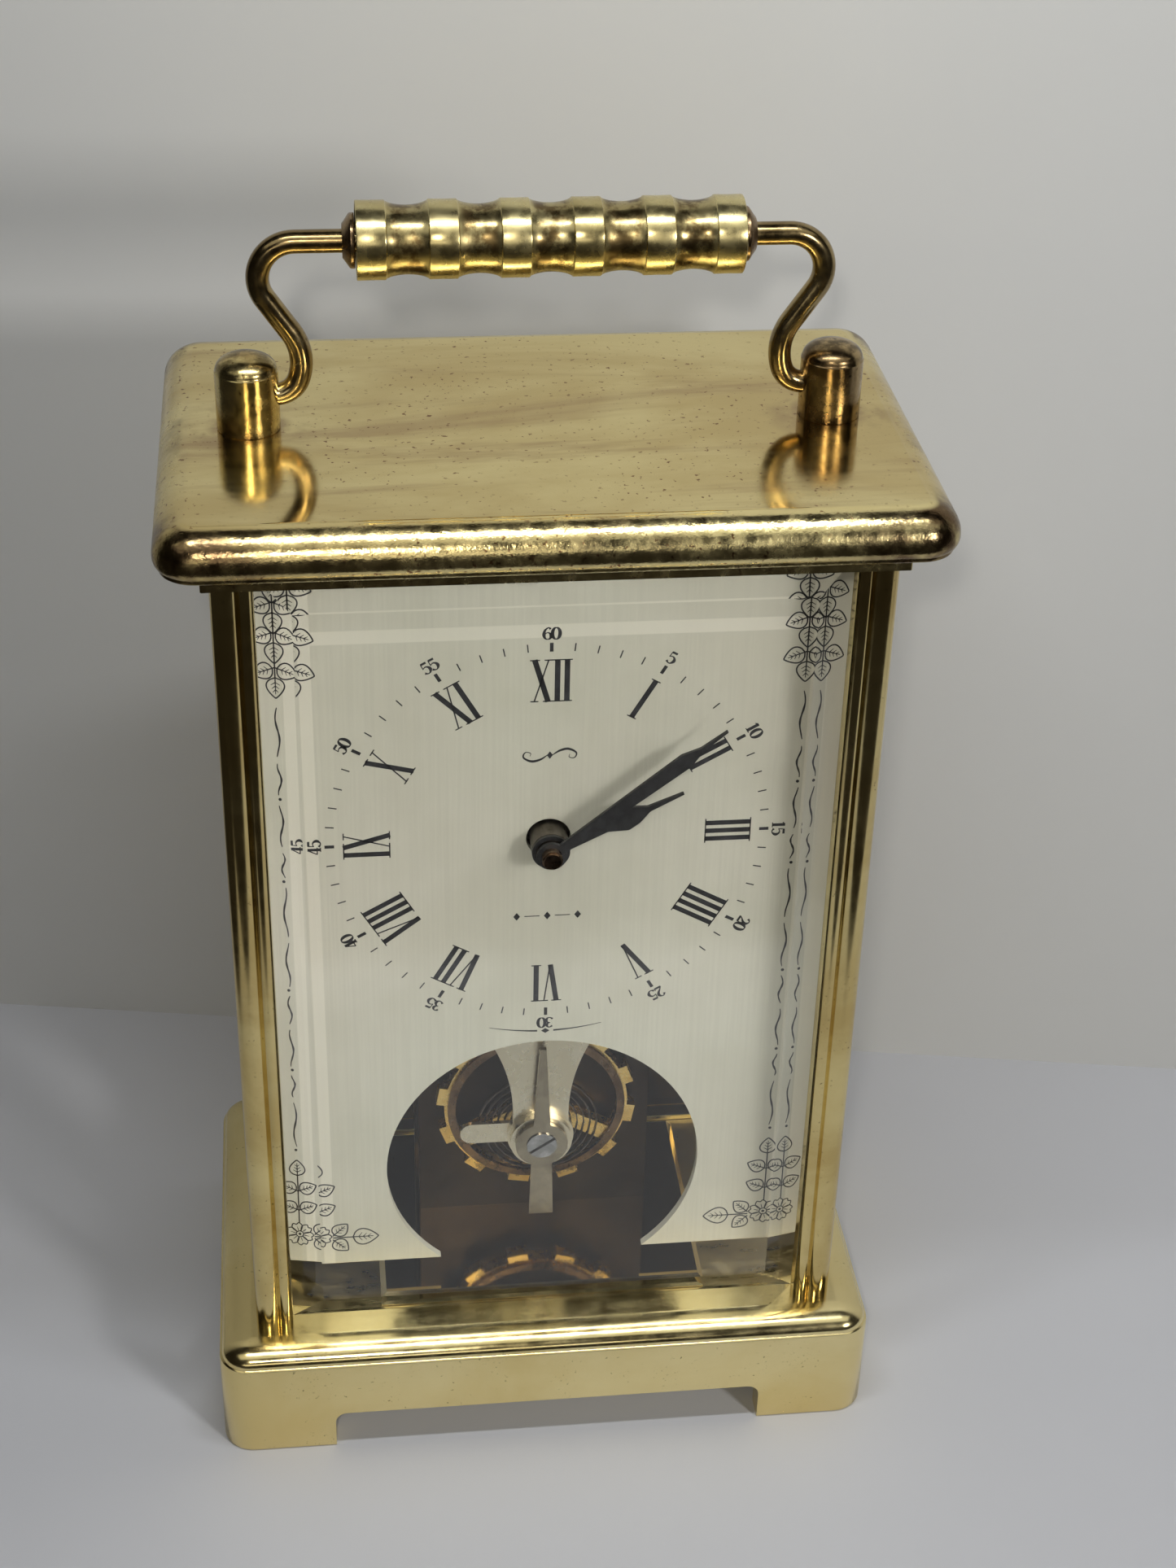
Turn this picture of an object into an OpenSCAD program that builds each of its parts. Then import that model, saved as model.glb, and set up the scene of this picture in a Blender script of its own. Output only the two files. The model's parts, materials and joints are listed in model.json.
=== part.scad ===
// Brass eight-day mantel clock of the carriage type, with a lever movement behind a cut-out dial.
// X is to the right, Y is to the back and Z is up. The origin is on the table, under the middle of the case.

/* [Case] */
// Width across the widest mouldings
case_w = 84; // [82:1:90]
// Depth across the widest mouldings
case_d = 54; // [53:1:56]
// Height of the flat top above the table
case_h = 130; // [128:1:140]
// Height of the plain fascia of the base
fascia_h = 13.8; // [12:0.1:14]
// Height of the arches between the feet
arch_h = 5.7; // [4.6:0.1:7]
// Half the width of the front and rear arches
arch_half_w = 27.2; // [22:0.1:30]
// Corner radius of the mouldings at their widest
corner_r = 4.5; // [4.2:0.1:4.8]

/* [Handle] */
// Distance of each turret's axis in from the side of the case
turret_inset = 10; // [9.8:0.1:10.1]
// Height of the bail pivot above the flat top
pivot_rise = 3.8; // [3.7:0.1:4.2]
// Height of the grip's axis above the flat top
grip_rise = 20.9; // [20:0.1:24]
// Radius of the bail wire
wire_r = 1.25; // [1.1:0.05:1.3]
// Length of the turned grip
grip_len = 41; // [36:0.5:42]
// Radius of the grip at its raised bands
grip_r = 4.15; // [3.6:0.05:4.3]

/* [Dial] */
// Height of the hands' axis
dial_axis_z = 84; // [83:0.1:84]
// Minutes past two o'clock shown by the hands
minutes = 8.5; // [0:0.5:59.5]
// Radius of the cut-out in front of the balance
window_r = 19.6; // [17:0.1:20]
// Length of the minute hand
minute_len = 25.1; // [20:0.1:27]
// Length of the hour hand
hour_len = 16.7; // [12:0.1:18]

/* [Door] */
// Thickness of the back door
door_t = 1.8; // [1.4:0.1:1.9]
// Radius of the door knob
door_knob_r = 3.2; // [2.4:0.1:4]

/* [Hidden] */
$fn = 48;
eps = 0.01;
run_gap = 0.04;      // radial clearance of a shaft in its hole
fit_gap = 0.1;       // clearance round a piece that is set in a groove

// heights
base_top = fascia_h + 2.2;
cornice_bottom = case_h - 8.3;
lip_z = case_h - 5.4;       // underside of the cornice moulding
hollow_z = case_h - 3;      // roof of the hollow over the movement
nut_top = case_h - 3.5;     // roof of the wells for the turret nuts
floor_top = base_top - 0.8;
seat_top = base_top + 1;
plinth_roof = 10.5;         // hollow under the base
floor_t = 1.2;

// pillars stand at the corners of the glazed box
pillar_w = 4.6;
pillar_x1 = case_w/2 - 5.4;              // outer face
pillar_x0 = pillar_x1 - pillar_w;        // inner face
pillar_y1 = case_d/2 - 5.4;
pillar_y0 = pillar_y1 - pillar_w;
pillar_cx = pillar_x0 + pillar_w/2;
pillar_cy = pillar_y0 + pillar_w/2;
corner_reed_r = 1.6;
side_reed_r = 0.9;
side_reed_in = 1.05;        // axis of a side reed, in from the outer face
post_web = pillar_w - 1.1;  // square core behind the reeds

// front glass
glass_front_y = -(pillar_y1 - 1.0);
glass_t = 2.4;
bevel_w = 4.3;
bevel_drop = 1.9;
groove_in = 0.5;            // depth of the grooves that hold the panes
pane_in = 0.4;              // how far a pane stands in its groove
side_glass_t = 1.8;
side_glass_x = pillar_x0 + 2.2;

// dial and movement planes along Y
dial_front = -13.1;
dial_t = 1;
dial_back = dial_front + dial_t;
plate_t = 1.5;
front_plate_y = -0.5;
back_plate_y = 12.5;
front_plate_back = front_plate_y + plate_t;
back_plate_back = back_plate_y + plate_t;
door_y = pillar_y1 - 2.8;

// handle heights
pivot_z = case_h + pivot_rise;
grip_z = case_h + grip_rise;
turret_x = case_w/2 - turret_inset;
turret_r = 3.45;
stud_r = 1;          // threaded studs of the turrets and posts
stud_gap = 0.05;
post_stud_h = 2.5;
turret_stud_h = 5.2;
post_thread_r = 0.85;
nut_r = 1.7;
nut_h = 1.5;
turret_h = 6.6;
dome_h = 2;
grip_shift = 0.6;

// gear modules and tooth counts
great_m = 0.45;
great_n = 72;
inter_pinion_n = 12;
inter_m = 0.35;
inter_n = 60;
centre_pinion_n = 12;
centre_n = 64;
third_pinion_n = 8;
third_m = 0.3;
third_n = 60;
fourth_pinion_n = 8;
fourth_m = 0.26;
fourth_n = 64;
escape_pinion_n = 8;
cannon_n = 12;
minute_n = 36;
minute_pinion_n = 10;
hour_n = 40;
motion_m = 0.35;
hour_m = motion_m * (cannon_n + minute_n) / (minute_pinion_n + hour_n);
escape_teeth = 15;
escape_r = 4.6;

function mesh_d(a, b, m) = (a + b) * m / 2;
function polar(r, a) = [r*cos(a), r*sin(a)];
function heading(p, q) = atan2(q.y - p.y, q.x - p.x);
// third corner of a triangle on the base p-q, at distance a from p and b from q, to the given side
function apex(p, q, a, b, side) =
    let (d = norm(q - p), along = (a*a - b*b + d*d) / (2*d), off = sqrt(a*a - along*along), u = (q - p)/d)
    p + along*u + side*off*[-u.y, u.x];

// arbor centres in the X-Z plane
c_centre = [0, dial_axis_z];
c_barrel = [0, dial_axis_z + 20.6];
c_escape = [0, dial_axis_z - 28.2];
c_balance = [0, dial_axis_z - 47.7];
c_inter = apex(c_centre, c_barrel, mesh_d(inter_n, centre_pinion_n, inter_m),
    mesh_d(great_n, inter_pinion_n, great_m), 1);
c_third = [-4, dial_axis_z - sqrt(pow(mesh_d(centre_n, third_pinion_n, inter_m), 2) - 16)];
c_fourth = apex(c_third, c_escape, mesh_d(third_n, fourth_pinion_n, third_m),
    mesh_d(fourth_n, escape_pinion_n, fourth_m), 1);
c_minute = [mesh_d(cannon_n, minute_n, motion_m), dial_axis_z];
pallet_reach = escape_r / cos(35);
c_pallet = c_escape - [0, pallet_reach];
c_click = c_barrel + [8.6, -5.4];
window_z = c_balance.y - 1.6;
c_window = [0, window_z];

// hand angles, clockwise from twelve
minute_angle = 6 * minutes;
hour_angle = 60 + minute_angle/12;

// balance planes along Y
staff_front = -10.3;
cock_y = -9.6;
cock_t = 1;
spring_y = -7.5;
roller_y = -5.5;
lever_y = -5.4;
rim_y = -3.6;
rim_t = 1.8;

// places of repeated posts
plate_pillar_at = [[-20, 58.5], [20, 58.5], [-20, 114.5], [20, 114.5], [-11, seat_top + 2.6],
    [11, seat_top + 2.6]];
dial_post_at = [[-20, 63.5], [20, 63.5], [-20, 109], [20, 109]];
cock_post_at = [[-8.5, 60], [8.5, 60]];
seat_screw_x = 11;
seat_screw_y = (front_plate_back + back_plate_y)/2;

// ---- shared shapes ----

// an outline in the X-Z plane, thickened from y0 to y0 + t
module slab(y0, t) {
    translate([0, y0 + t, 0]) rotate([90, 0, 0]) linear_extrude(t) children();
}

// a round rod along Y
module rod(at, r, y0, y1) {
    translate([at.x, y0, at.y]) rotate([-90, 0, 0]) cylinder(r = r, h = y1 - y0);
}

// a circle cut or drawn at a point
module dot(at, r) {
    translate(at) circle(r = r);
}

// a gear outline with straight-flanked teeth; one tooth is centred on the angle phase
module gear_outline(n, m, phase, tip = 0.7, root_w = 0.24, tip_w = 0.1) {
    pitch = 360/n;
    r_tip = n*m/2 + tip*m;
    r_root = n*m/2 - 1.15*m;
    polygon([for (i = [0:n - 1]) for (k = [0:3])
        polar(k == 0 || k == 3 ? r_root : r_tip,
            phase + i*pitch + [-root_w, -tip_w, tip_w, root_w][k]*pitch)]);
}

// a wheel with four crossings cut out of its web
module crossed_wheel(n, m, phase, hub_r) {
    rim_in = n*m/2 - 1.15*m - 1.1;
    arm = 0.9;
    difference() {
        gear_outline(n, m, phase);
        difference() {
            circle(r = rim_in);
            circle(r = hub_r);
            for (a = [0, 90]) rotate(a + 45) square([2*rim_in + 1, 2*arm], center = true);
        }
    }
}

// a moulded block: the outline sweeps round a rectangle with corner radius corner_r.
// outline points are [distance in from the widest edge, height]
module moulded(half_x, half_y, outline) {
    cx = half_x - corner_r;
    cy = half_y - corner_r;
    section = [for (p = outline) [corner_r - p.x, p.y]];
    z0 = outline[0].y;
    z1 = outline[len(outline) - 1].y;
    closed = concat([[0, z0]], section, [[0, z1]]);
    for (sx = [0, 1]) for (sy = [0, 1]) mirror([sx, 0, 0]) mirror([0, sy, 0])
        translate([cx, cy, 0]) rotate_extrude(angle = 90) polygon(closed);
    for (s = [0, 1]) mirror([s, 0, 0])
        translate([cx, cy, 0]) rotate([90, 0, 0]) linear_extrude(2*cy) polygon(closed);
    for (s = [0, 1]) mirror([0, s, 0])
        translate([-cx, cy, 0]) rotate([90, 0, 90]) linear_extrude(2*cx) polygon(closed);
    translate([-cx, -cy, z0]) cube([2*cx, 2*cy, z1 - z0]);
}

// points of an arc, for outlines
function arc(c, r, a0, a1, n) = [for (i = [0:n]) c + polar(r, a0 + (a1 - a0)*i/n)];

// reeded corner post: a corner reed with a smaller reed on each inner side, standing on the base
module reeded_post() {
    difference() {
        union() {
            dot([pillar_x1 - corner_reed_r, pillar_y1 - corner_reed_r], corner_reed_r);
            dot([pillar_x0 + side_reed_r, pillar_y1 - side_reed_in], side_reed_r);
            dot([pillar_x1 - side_reed_in, pillar_y0 + side_reed_r], side_reed_r);
            translate([pillar_x0, pillar_y0]) square([post_web, post_web]);
        }
        // groove for the front or back pane
        translate([pillar_x0 - 1, -glass_front_y - glass_t - fit_gap])
            square([1 + groove_in, glass_t + 2*fit_gap]);
        // groove for the side pane
        translate([side_glass_x - fit_gap, pillar_y0 - 1]) square([side_glass_t + 2*fit_gap, 1 + groove_in]);
    }
}

module pillar(mx, my) {
    mirror([mx, 0, 0]) mirror([0, my, 0]) {
        difference() {
            translate([0, 0, base_top]) linear_extrude(cornice_bottom - base_top) reeded_post();
            translate([pillar_cx, pillar_cy, base_top - 1]) cylinder(r = post_thread_r, h = 7);
        }
        translate([pillar_cx, pillar_cy, cornice_bottom]) cylinder(r = stud_r, h = post_stud_h);
    }
}

// ---- case ----

module base_plinth() {
    wall = 3.8;
    ovolo = arc([1.9, fascia_h], 1.5, 160, 80, 5);
    outline = concat([[0.6, 0], [0.6, fascia_h - 0.3]], [for (p = ovolo) [p.x + 0.1, p.y]],
        [[2.6, fascia_h + 1.45], [3.2, fascia_h + 1.6], [3.9, fascia_h + 1.85], [4.4, base_top]]);
    color("goldenrod") difference() {
        moulded(case_w/2, case_d/2, outline);
        // hollow under the roof of the casting
        translate([wall - case_w/2, wall - case_d/2, -1])
            cube([case_w - 2*wall, case_d - 2*wall, plinth_roof + 1]);
        // arches between the feet
        arch(arch_half_w, case_d);
        rotate([0, 0, 90]) arch(case_d/2 - 14, case_w);
        // well for the floor plate
        translate([-pillar_x0 + 0.2, -pillar_y0 + 0.2, floor_top - floor_t])
            cube([2*pillar_x0 - 0.4, 2*pillar_y0 - 0.4, 5]);
        glass_grooves(base_top - groove_in, 1);
        for (sx = [-1, 1]) for (sy = [-1, 1])
            translate([sx*pillar_cx, sy*pillar_cy, 0]) cylinder(r = 1, h = base_top + 1);
        seat_screw_holes(0, base_top + 1);
        translate([-door_hinge_x, door_hinge_y, base_top - 2]) cylinder(r = pin_r + run_gap, h = 3);
    }
}

// a flat-topped arch with small rounded corners, cut right through along Y
module arch(half_w, through) {
    r = 1.5;
    translate([0, through, 0]) rotate([90, 0, 0]) linear_extrude(2*through) {
        translate([-half_w, -1]) square([2*half_w, arch_h - r + 1]);
        translate([-half_w + r, 0]) square([2*(half_w - r), arch_h]);
        for (s = [-1, 1]) translate([s*(half_w - r), arch_h - r]) circle(r = r);
    }
}

// grooves for the front pane and the two side panes, in a base or a cornice
module glass_grooves(z, h) {
    translate([-pillar_x0 - groove_in, glass_front_y - fit_gap, z])
        cube([2*(pillar_x0 + groove_in), glass_t + 2*fit_gap, h]);
    for (s = [0, 1]) mirror([s, 0, 0])
        translate([side_glass_x - fit_gap, -pillar_y0 - groove_in, z])
            cube([side_glass_t + 2*fit_gap, 2*(pillar_y0 + groove_in), h]);
}

module cornice() {
    z = case_h;
    neck_in = 4.6;
    bore_r = stud_r + stud_gap;
    hollow_x = 29;
    hollow_y = 15;
    outline = concat([[0.9, lip_z], [0.35, lip_z + 0.25], [0, lip_z + 0.9], [0, z - 3.9]],
        arc([3.1, z - 3.9], 3.1, 172, 104, 6), [[2.5, z - 0.72], [2.85, z - 0.35], [3.5, z]]);
    color("goldenrod") difference() {
        union() {
            moulded(case_w/2, case_d/2, outline);
            // narrow neck that meets the pillars
            translate([neck_in - case_w/2, neck_in - case_d/2, cornice_bottom])
                cube([case_w - 2*neck_in, case_d - 2*neck_in, lip_z - cornice_bottom + 1]);
        }
        translate([-hollow_x, -hollow_y, cornice_bottom - 1])
            cube([2*hollow_x, 2*hollow_y, hollow_z - cornice_bottom + 1]);
        glass_grooves(cornice_bottom - groove_in, 2*groove_in);
        for (sx = [-1, 1]) for (sy = [-1, 1])
            translate([sx*pillar_cx, sy*pillar_cy, cornice_bottom - 1])
                cylinder(r = bore_r, h = post_stud_h + 1.2);
        for (s = [-1, 1]) translate([s*turret_x, 0, 0]) {
            translate([0, 0, nut_top - 1]) cylinder(r = bore_r, h = z - nut_top + 2);
            translate([0, 0, cornice_bottom - 1]) cylinder(r = nut_r + fit_gap, h = nut_top - cornice_bottom + 1);
        }
        translate([-door_hinge_x, door_hinge_y, cornice_bottom - 1]) cylinder(r = pin_r + run_gap, h = 3);
    }
}

module case_floor() {
    color("gold") difference() {
        translate([-pillar_x0 + 0.3, -pillar_y0 + 0.3, floor_top - floor_t])
            cube([2*pillar_x0 - 0.6, 2*pillar_y0 - 0.6, floor_t]);
        seat_screw_holes(floor_top - 2, 3);
    }
}

module movement_seat() {
    half_w = 20.8;
    front = -16.4;
    depth = back_plate_back + 0.5 - front;
    ch = 0.7;
    color("gold") difference() {
        translate([0, front + depth, 0]) rotate([90, 0, 0]) linear_extrude(depth)
            polygon([[-half_w, floor_top], [half_w, floor_top], [half_w, seat_top - ch],
                [half_w - ch, seat_top], [-half_w + ch, seat_top], [-half_w, seat_top - ch]]);
        seat_screw_holes(floor_top - 1, 4);
        // bevel along the front edge
        translate([-half_w - 1, front, seat_top - ch]) rotate([45, 0, 0]) translate([0, -1, 0])
            cube([2*half_w + 2, 4, 2]);
    }
}

// clearance holes for the two screws that hold the movement down
module seat_screw_holes(z, h) {
    for (sx = [-1, 1]) translate([sx*seat_screw_x, seat_screw_y, z]) cylinder(r = 1.1, h = h);
}

module pillar_front_left() { color("goldenrod") pillar(1, 1); }

module pillar_front_right() { color("goldenrod") pillar(0, 1); }

module pillar_rear_left() { color("goldenrod") pillar(1, 0); }

module pillar_rear_right() { color("goldenrod") pillar(0, 0); }

module front_glass() {
    w = pillar_x0 + pane_in;
    z0 = base_top - pane_in;
    z1 = cornice_bottom + pane_in;
    color("lightcyan", 0.4) hull() {
        translate([-w, glass_front_y + bevel_drop, z0]) cube([2*w, glass_t - bevel_drop, z1 - z0]);
        translate([-w + bevel_w, glass_front_y, z0 + bevel_w])
            cube([2*(w - bevel_w), glass_t, z1 - z0 - 2*bevel_w]);
    }
}

module side_pane() {
    translate([side_glass_x, -pillar_y0 - pane_in, base_top - pane_in])
        cube([side_glass_t, 2*(pillar_y0 + pane_in), cornice_bottom - base_top + 2*pane_in]);
}

module left_glass() { color("lightcyan", 0.4) mirror([1, 0, 0]) side_pane(); }

module right_glass() { color("lightcyan", 0.4) side_pane(); }

module screw(head_r, head_h, shank_r, len) {
    difference() {
        cylinder(r = head_r, h = head_h);
        translate([-head_r - 1, -0.25, -eps]) cube([2*head_r + 2, 0.5, head_h/2]);
    }
    translate([0, 0, head_h]) cylinder(r = shank_r, h = len);
}

module case_screws() {
    head_h = 1.5;
    color("silver") for (sx = [-1, 1]) for (sy = [-1, 1])
        translate([sx*pillar_cx, sy*pillar_cy, plinth_roof - head_h])
            screw(1.7, head_h, 0.8, base_top + 5 - plinth_roof);
}

// ---- door ----

door_half_w = pillar_x0 - 0.5;
door_hinge_x = door_half_w - 1.3;
door_hinge_y = door_y + door_t/2;
door_z0 = base_top + 0.4;
door_z1 = cornice_bottom - 0.4;
pin_r = 0.6;
c_knob = [door_half_w - 6, 70];
latch_y = pillar_y0 - 1.2;

module door_panel() {
    color("goldenrod") difference() {
        translate([-door_half_w, door_y, door_z0]) cube([2*door_half_w, door_t, door_z1 - door_z0]);
        translate([-door_hinge_x, door_hinge_y, door_z0 - 1]) cylinder(r = pin_r, h = 5);
        translate([-door_hinge_x, door_hinge_y, door_z1 - 4]) cylinder(r = pin_r, h = 5);
        rod(c_knob, 0.9 + run_gap, door_y - 1, door_y + door_t + 1);
        // a shallow sunk field on the outside
        translate([-door_half_w + 5, door_y + door_t - 0.4, door_z0 + 5])
            cube([2*door_half_w - 17, 1, door_z1 - door_z0 - 10]);
    }
}

module door_hinge_pins() {
    color("silver") {
        translate([-door_hinge_x, door_hinge_y, base_top - 1.6]) cylinder(r = pin_r, h = 5);
        translate([-door_hinge_x, door_hinge_y, door_z1 - 4]) cylinder(r = pin_r, h = 5.8);
    }
}

module door_knob() {
    back = door_y + door_t;
    color("goldenrod") translate([c_knob.x, back, c_knob.y]) rotate([-90, 0, 0]) {
        rotate_extrude() polygon(concat([[0, 0.15], [1.9, 0.15], [1.9, 0.7], [1.3, 1.3]],
            arc([door_knob_r - 1.2, 2.9], 1.2, -60, 90, 6), [[0, 4.1]]));
        translate([0, 0, latch_y - back]) cylinder(r = 0.9, h = back - latch_y + 0.5);
    }
}

module door_latch() {
    color("silver") slab(latch_y, 0.9) difference() {
        union() {
            dot(c_knob, 2);
            translate([c_knob.x - 1.3, c_knob.y]) square([2.6, pillar_x0 - c_knob.x + 0.4]);
            dot(c_knob + [0, pillar_x0 - c_knob.x + 0.4], 1.3);
        }
        dot(c_knob, 0.9);
    }
}

// ---- handle ----

// S-bend of the bail, right half: a tight bend out of the turret, a wide bend, a straight, the shoulder bend
exit_x = turret_x - turret_r + 0.3;
bend_r = 2.6;
wide_r = 6;
shoulder_r = 4;
bend_c = [exit_x, pivot_z + bend_r];
join_a = 200;
wide_c = bend_c + polar(bend_r - wide_r, join_a);
shoulder_c = [turret_x - 5.7, grip_z - shoulder_r];
span = shoulder_c - wide_c;
tangent_a = atan2(span.y, span.x) + acos((wide_r + shoulder_r)/norm(span));
tangent_0 = wide_c + polar(wide_r, tangent_a);
tangent_1 = shoulder_c - polar(shoulder_r, tangent_a);

// an arc of wire in the X-Z plane
module wire_arc(c, r, a0, a1) {
    translate([c.x, 0, c.y]) rotate([90, 0, 0]) rotate([0, 0, a0])
        rotate_extrude(angle = a1 - a0) translate([r, 0]) circle(r = wire_r, $fn = 32);
}

// a straight of wire in the X-Z plane
module wire_run(p, q) {
    d = q - p;
    translate([p.x, 0, p.y]) rotate([0, atan2(d.x, d.y), 0]) cylinder(r = wire_r, h = norm(d), $fn = 32);
}

// a ball that closes the joint between two lengths of wire
module wire_joint(p) {
    translate([p.x, 0, p.y]) sphere(r = wire_r + 0.02);
}

module half_bail() {
    wire_run([turret_x + 1.2, pivot_z], [exit_x, pivot_z]);
    wire_joint([exit_x, pivot_z]);
    wire_arc(bend_c, bend_r, join_a, 270);
    wire_joint(bend_c + polar(bend_r, join_a));
    wire_arc(wide_c, wide_r, tangent_a, join_a);
    wire_joint(tangent_0);
    wire_run(tangent_0, tangent_1);
    wire_joint(tangent_1);
    wire_arc(shoulder_c, shoulder_r, tangent_a - 180, 90);
    wire_joint([shoulder_c.x, grip_z]);
    wire_run([shoulder_c.x, grip_z], [-eps, grip_z]);
}

module handle_bail() {
    color("saddlebrown") {
        half_bail();
        mirror([1, 0, 0]) half_bail();
    }
}

module handle_ferrules() {
    gap = 0.15;
    color("dimgray") for (s = [-1, 1])
        translate([grip_shift + s*(grip_len/2 + gap), 0, grip_z]) rotate([0, s*90, 0]) difference() {
            rotate_extrude() polygon([[0, 0], [2.9, 0], [2.9, 0.5], [1.9, 1.3], [0, 1.3]]);
            translate([0, 0, -1]) cylinder(r = wire_r, h = 4);
        }
}

module handle_grip() {
    bands = 6;
    band_w = grip_len*0.076;
    scotia_w = (grip_len - bands*band_w)/(bands - 1);
    step = band_w + scotia_w;
    dip = 0.4;
    hollow_r = (scotia_w*scotia_w/4 + dip*dip)/(2*dip);
    half_a = asin(scotia_w/2/hollow_r);
    rim = [for (i = [0:bands - 1]) each concat([[grip_r, i*step], [grip_r, i*step + band_w]],
        i == bands - 1 ? [] : arc([grip_r - dip + hollow_r, i*step + band_w + scotia_w/2], hollow_r,
            180 + half_a*0.92, 180 - half_a*0.92, 5))];
    color("darkgoldenrod") translate([grip_shift - grip_len/2, 0, grip_z]) rotate([0, 90, 0]) difference() {
        rotate_extrude() polygon(concat([[0, 0]], rim, [[0, grip_len]]));
        translate([0, 0, -1]) cylinder(r = wire_r + run_gap + 0.01, h = grip_len + 2);
    }
}

module turret(s) {
    dome_r = (turret_r*turret_r + dome_h*dome_h)/(2*dome_h);
    translate([s*turret_x, 0, case_h]) difference() {
        union() {
            intersection() {
                cylinder(r = turret_r, h = turret_h + dome_h);
                translate([0, 0, turret_h + dome_h - dome_r]) sphere(r = dome_r);
                translate([0, 0, turret_h/2]) cylinder(r = turret_r + 1, h = turret_h);
            }
            cylinder(r = turret_r, h = turret_h/2);
            translate([0, 0, -turret_stud_h]) cylinder(r = stud_r, h = turret_stud_h + 0.1);
        }
        translate([s*1.3, 0, pivot_rise]) rotate([0, -s*90, 0]) cylinder(r = wire_r + run_gap + 0.01, h = 8);
    }
}

module left_turret() { color("goldenrod") turret(-1); }

module right_turret() { color("saddlebrown") turret(1); }

module turret_nuts() {
    color("silver") for (s = [-1, 1]) translate([s*turret_x, 0, nut_top - nut_h]) difference() {
        cylinder(r = nut_r, h = nut_h, $fn = 6);
        translate([0, 0, -1]) cylinder(r = stud_r, h = 4);
    }
}

// ---- dial and hands ----

dial_half_w = side_glass_x - 0.8;
dial_z0 = 20;
dial_z1 = cornice_bottom - 0.4;

module dial_plate() {
    color("ivory") slab(dial_front, dial_t) difference() {
        translate([-dial_half_w, dial_z0]) square([2*dial_half_w, dial_z1 - dial_z0]);
        dot(c_window, window_r);
        dot(c_centre, 2.6);
    }
}

module dial_posts() {
    color("gold") for (p = dial_post_at) {
        rod(p, 1.3, dial_back, front_plate_y);
        rod(p, 0.7, front_plate_y - eps, front_plate_back);
    }
}

// a hand drawn pointing up, then turned clockwise round the dial centre
module hand(angle, y0, t, boss_r, bore_r) {
    slab(y0, t) translate(c_centre) rotate(-angle) difference() {
        union() {
            circle(r = boss_r);
            children();
        }
        circle(r = bore_r);
    }
}

// a hand's outline from the points of its right edge, root to tip
module blade(edge) {
    n = len(edge) - 1;
    polygon(concat(edge, [for (i = [n:-1:0]) [-edge[i].x, edge[i].y]]));
}

module hour_hand() {
    swell = 0.56*hour_len;
    color("black") hand(hour_angle, -16.2, 0.4, 2.2, 1.75)
        blade([[0.75, 0], [0.55, swell - 2.4], [1.5, swell - 0.2], [1.2, swell + 1.3], [0.35, swell + 3],
            [0.12, hour_len]]);
}

module minute_hand() {
    shoulder = minute_len - 5.2;
    color("black") hand(minute_angle, -17.1, 0.4, 1.75, 0.8)
        blade([[0.6, 0], [0.95, shoulder - 0.6], [0.25, shoulder + 1.6], [0.1, minute_len]]);
}

module hand_nut() {
    color("peru") difference() {
        union() {
            rod(c_centre, 1.2, -17.9, -17.1);
            rod(c_centre, 1.0, -18.2, -17.8);
        }
        rod(c_centre, 0.8, -18.0, -16);
    }
}

// ---- movement frame ----

module plate_outline() {
    translate([-24, 54]) square([48, 65]);
    translate([-15, seat_top]) square([30, 40]);
}

module front_plate() {
    color("gold") slab(front_plate_y, plate_t) difference() {
        plate_outline();
        for (p = plate_pillar_at) dot(p, 1);
        for (p = dial_post_at) dot(p, 0.7);
        for (p = cock_post_at) dot(p, 0.8);
        dot(c_centre, 1.1 + run_gap);
        dot(c_barrel, 1.5 + run_gap);
        for (p = [c_inter, c_third, c_fourth, c_pallet]) dot(p, pivot_r + run_gap);
        dot(c_escape, escape_arbor_r + 0.4);
        dot(c_balance, staff_pivot_r + run_gap);
        dot(c_minute, 0.8);
    }
}

module back_plate() {
    color("gold") slab(back_plate_y, plate_t) difference() {
        plate_outline();
        for (p = plate_pillar_at) dot(p, 0.85);
        dot(c_centre, 0.8 + run_gap);
        dot(c_barrel, 1.5 + run_gap);
        for (p = [c_inter, c_third, c_fourth, c_escape]) dot(p, pivot_r + run_gap);
        dot(c_click, 0.7);
        dot(c_click + click_spring_foot, 0.6);
    }
}

module plate_pillars() {
    color("gold") for (p = plate_pillar_at) difference() {
        union() {
            rod(p, 2, front_plate_back, back_plate_y);
            rod(p, 1, front_plate_y, front_plate_back + eps);
        }
        rod(p, 0.8, back_plate_y - 3.5, back_plate_y + 1);
        if (p.y < 30) translate([p.x, seat_screw_y, seat_top - 1]) cylinder(r = 0.95, h = 3.4);
    }
}

module plate_screws() {
    color("silver") for (p = plate_pillar_at) translate([p.x, back_plate_back + 1.1, p.y]) rotate([90, 0, 0])
        screw(1.8, 1.1, 0.8, plate_t + 2.6);
}

module movement_screws() {
    color("silver") for (sx = [-1, 1]) translate([sx*seat_screw_x, seat_screw_y, plinth_roof - 1.5])
        screw(2, 1.5, 0.95, seat_top + 1.6 - plinth_roof);
}

// ---- power ----

pivot_r = 0.5;
drum_back = 10.2;
drum_r = 14.5;
great_y = 3.6;
great_t = 1.2;
click_spring_foot = [4.6, -9];

module barrel_drum() {
    phase = heading(c_barrel, c_inter);
    color("gold") difference() {
        union() {
            slab(great_y, great_t) translate(c_barrel) gear_outline(great_n, great_m, phase);
            rod(c_barrel, drum_r, great_y, drum_back);
            rod(c_barrel, 3, 3, great_y + eps);
        }
        rod(c_barrel, drum_r - 0.9, great_y + 1.2, drum_back + 1);
        rod(c_barrel, 1.5 + run_gap, 0, 9);
    }
}

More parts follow.
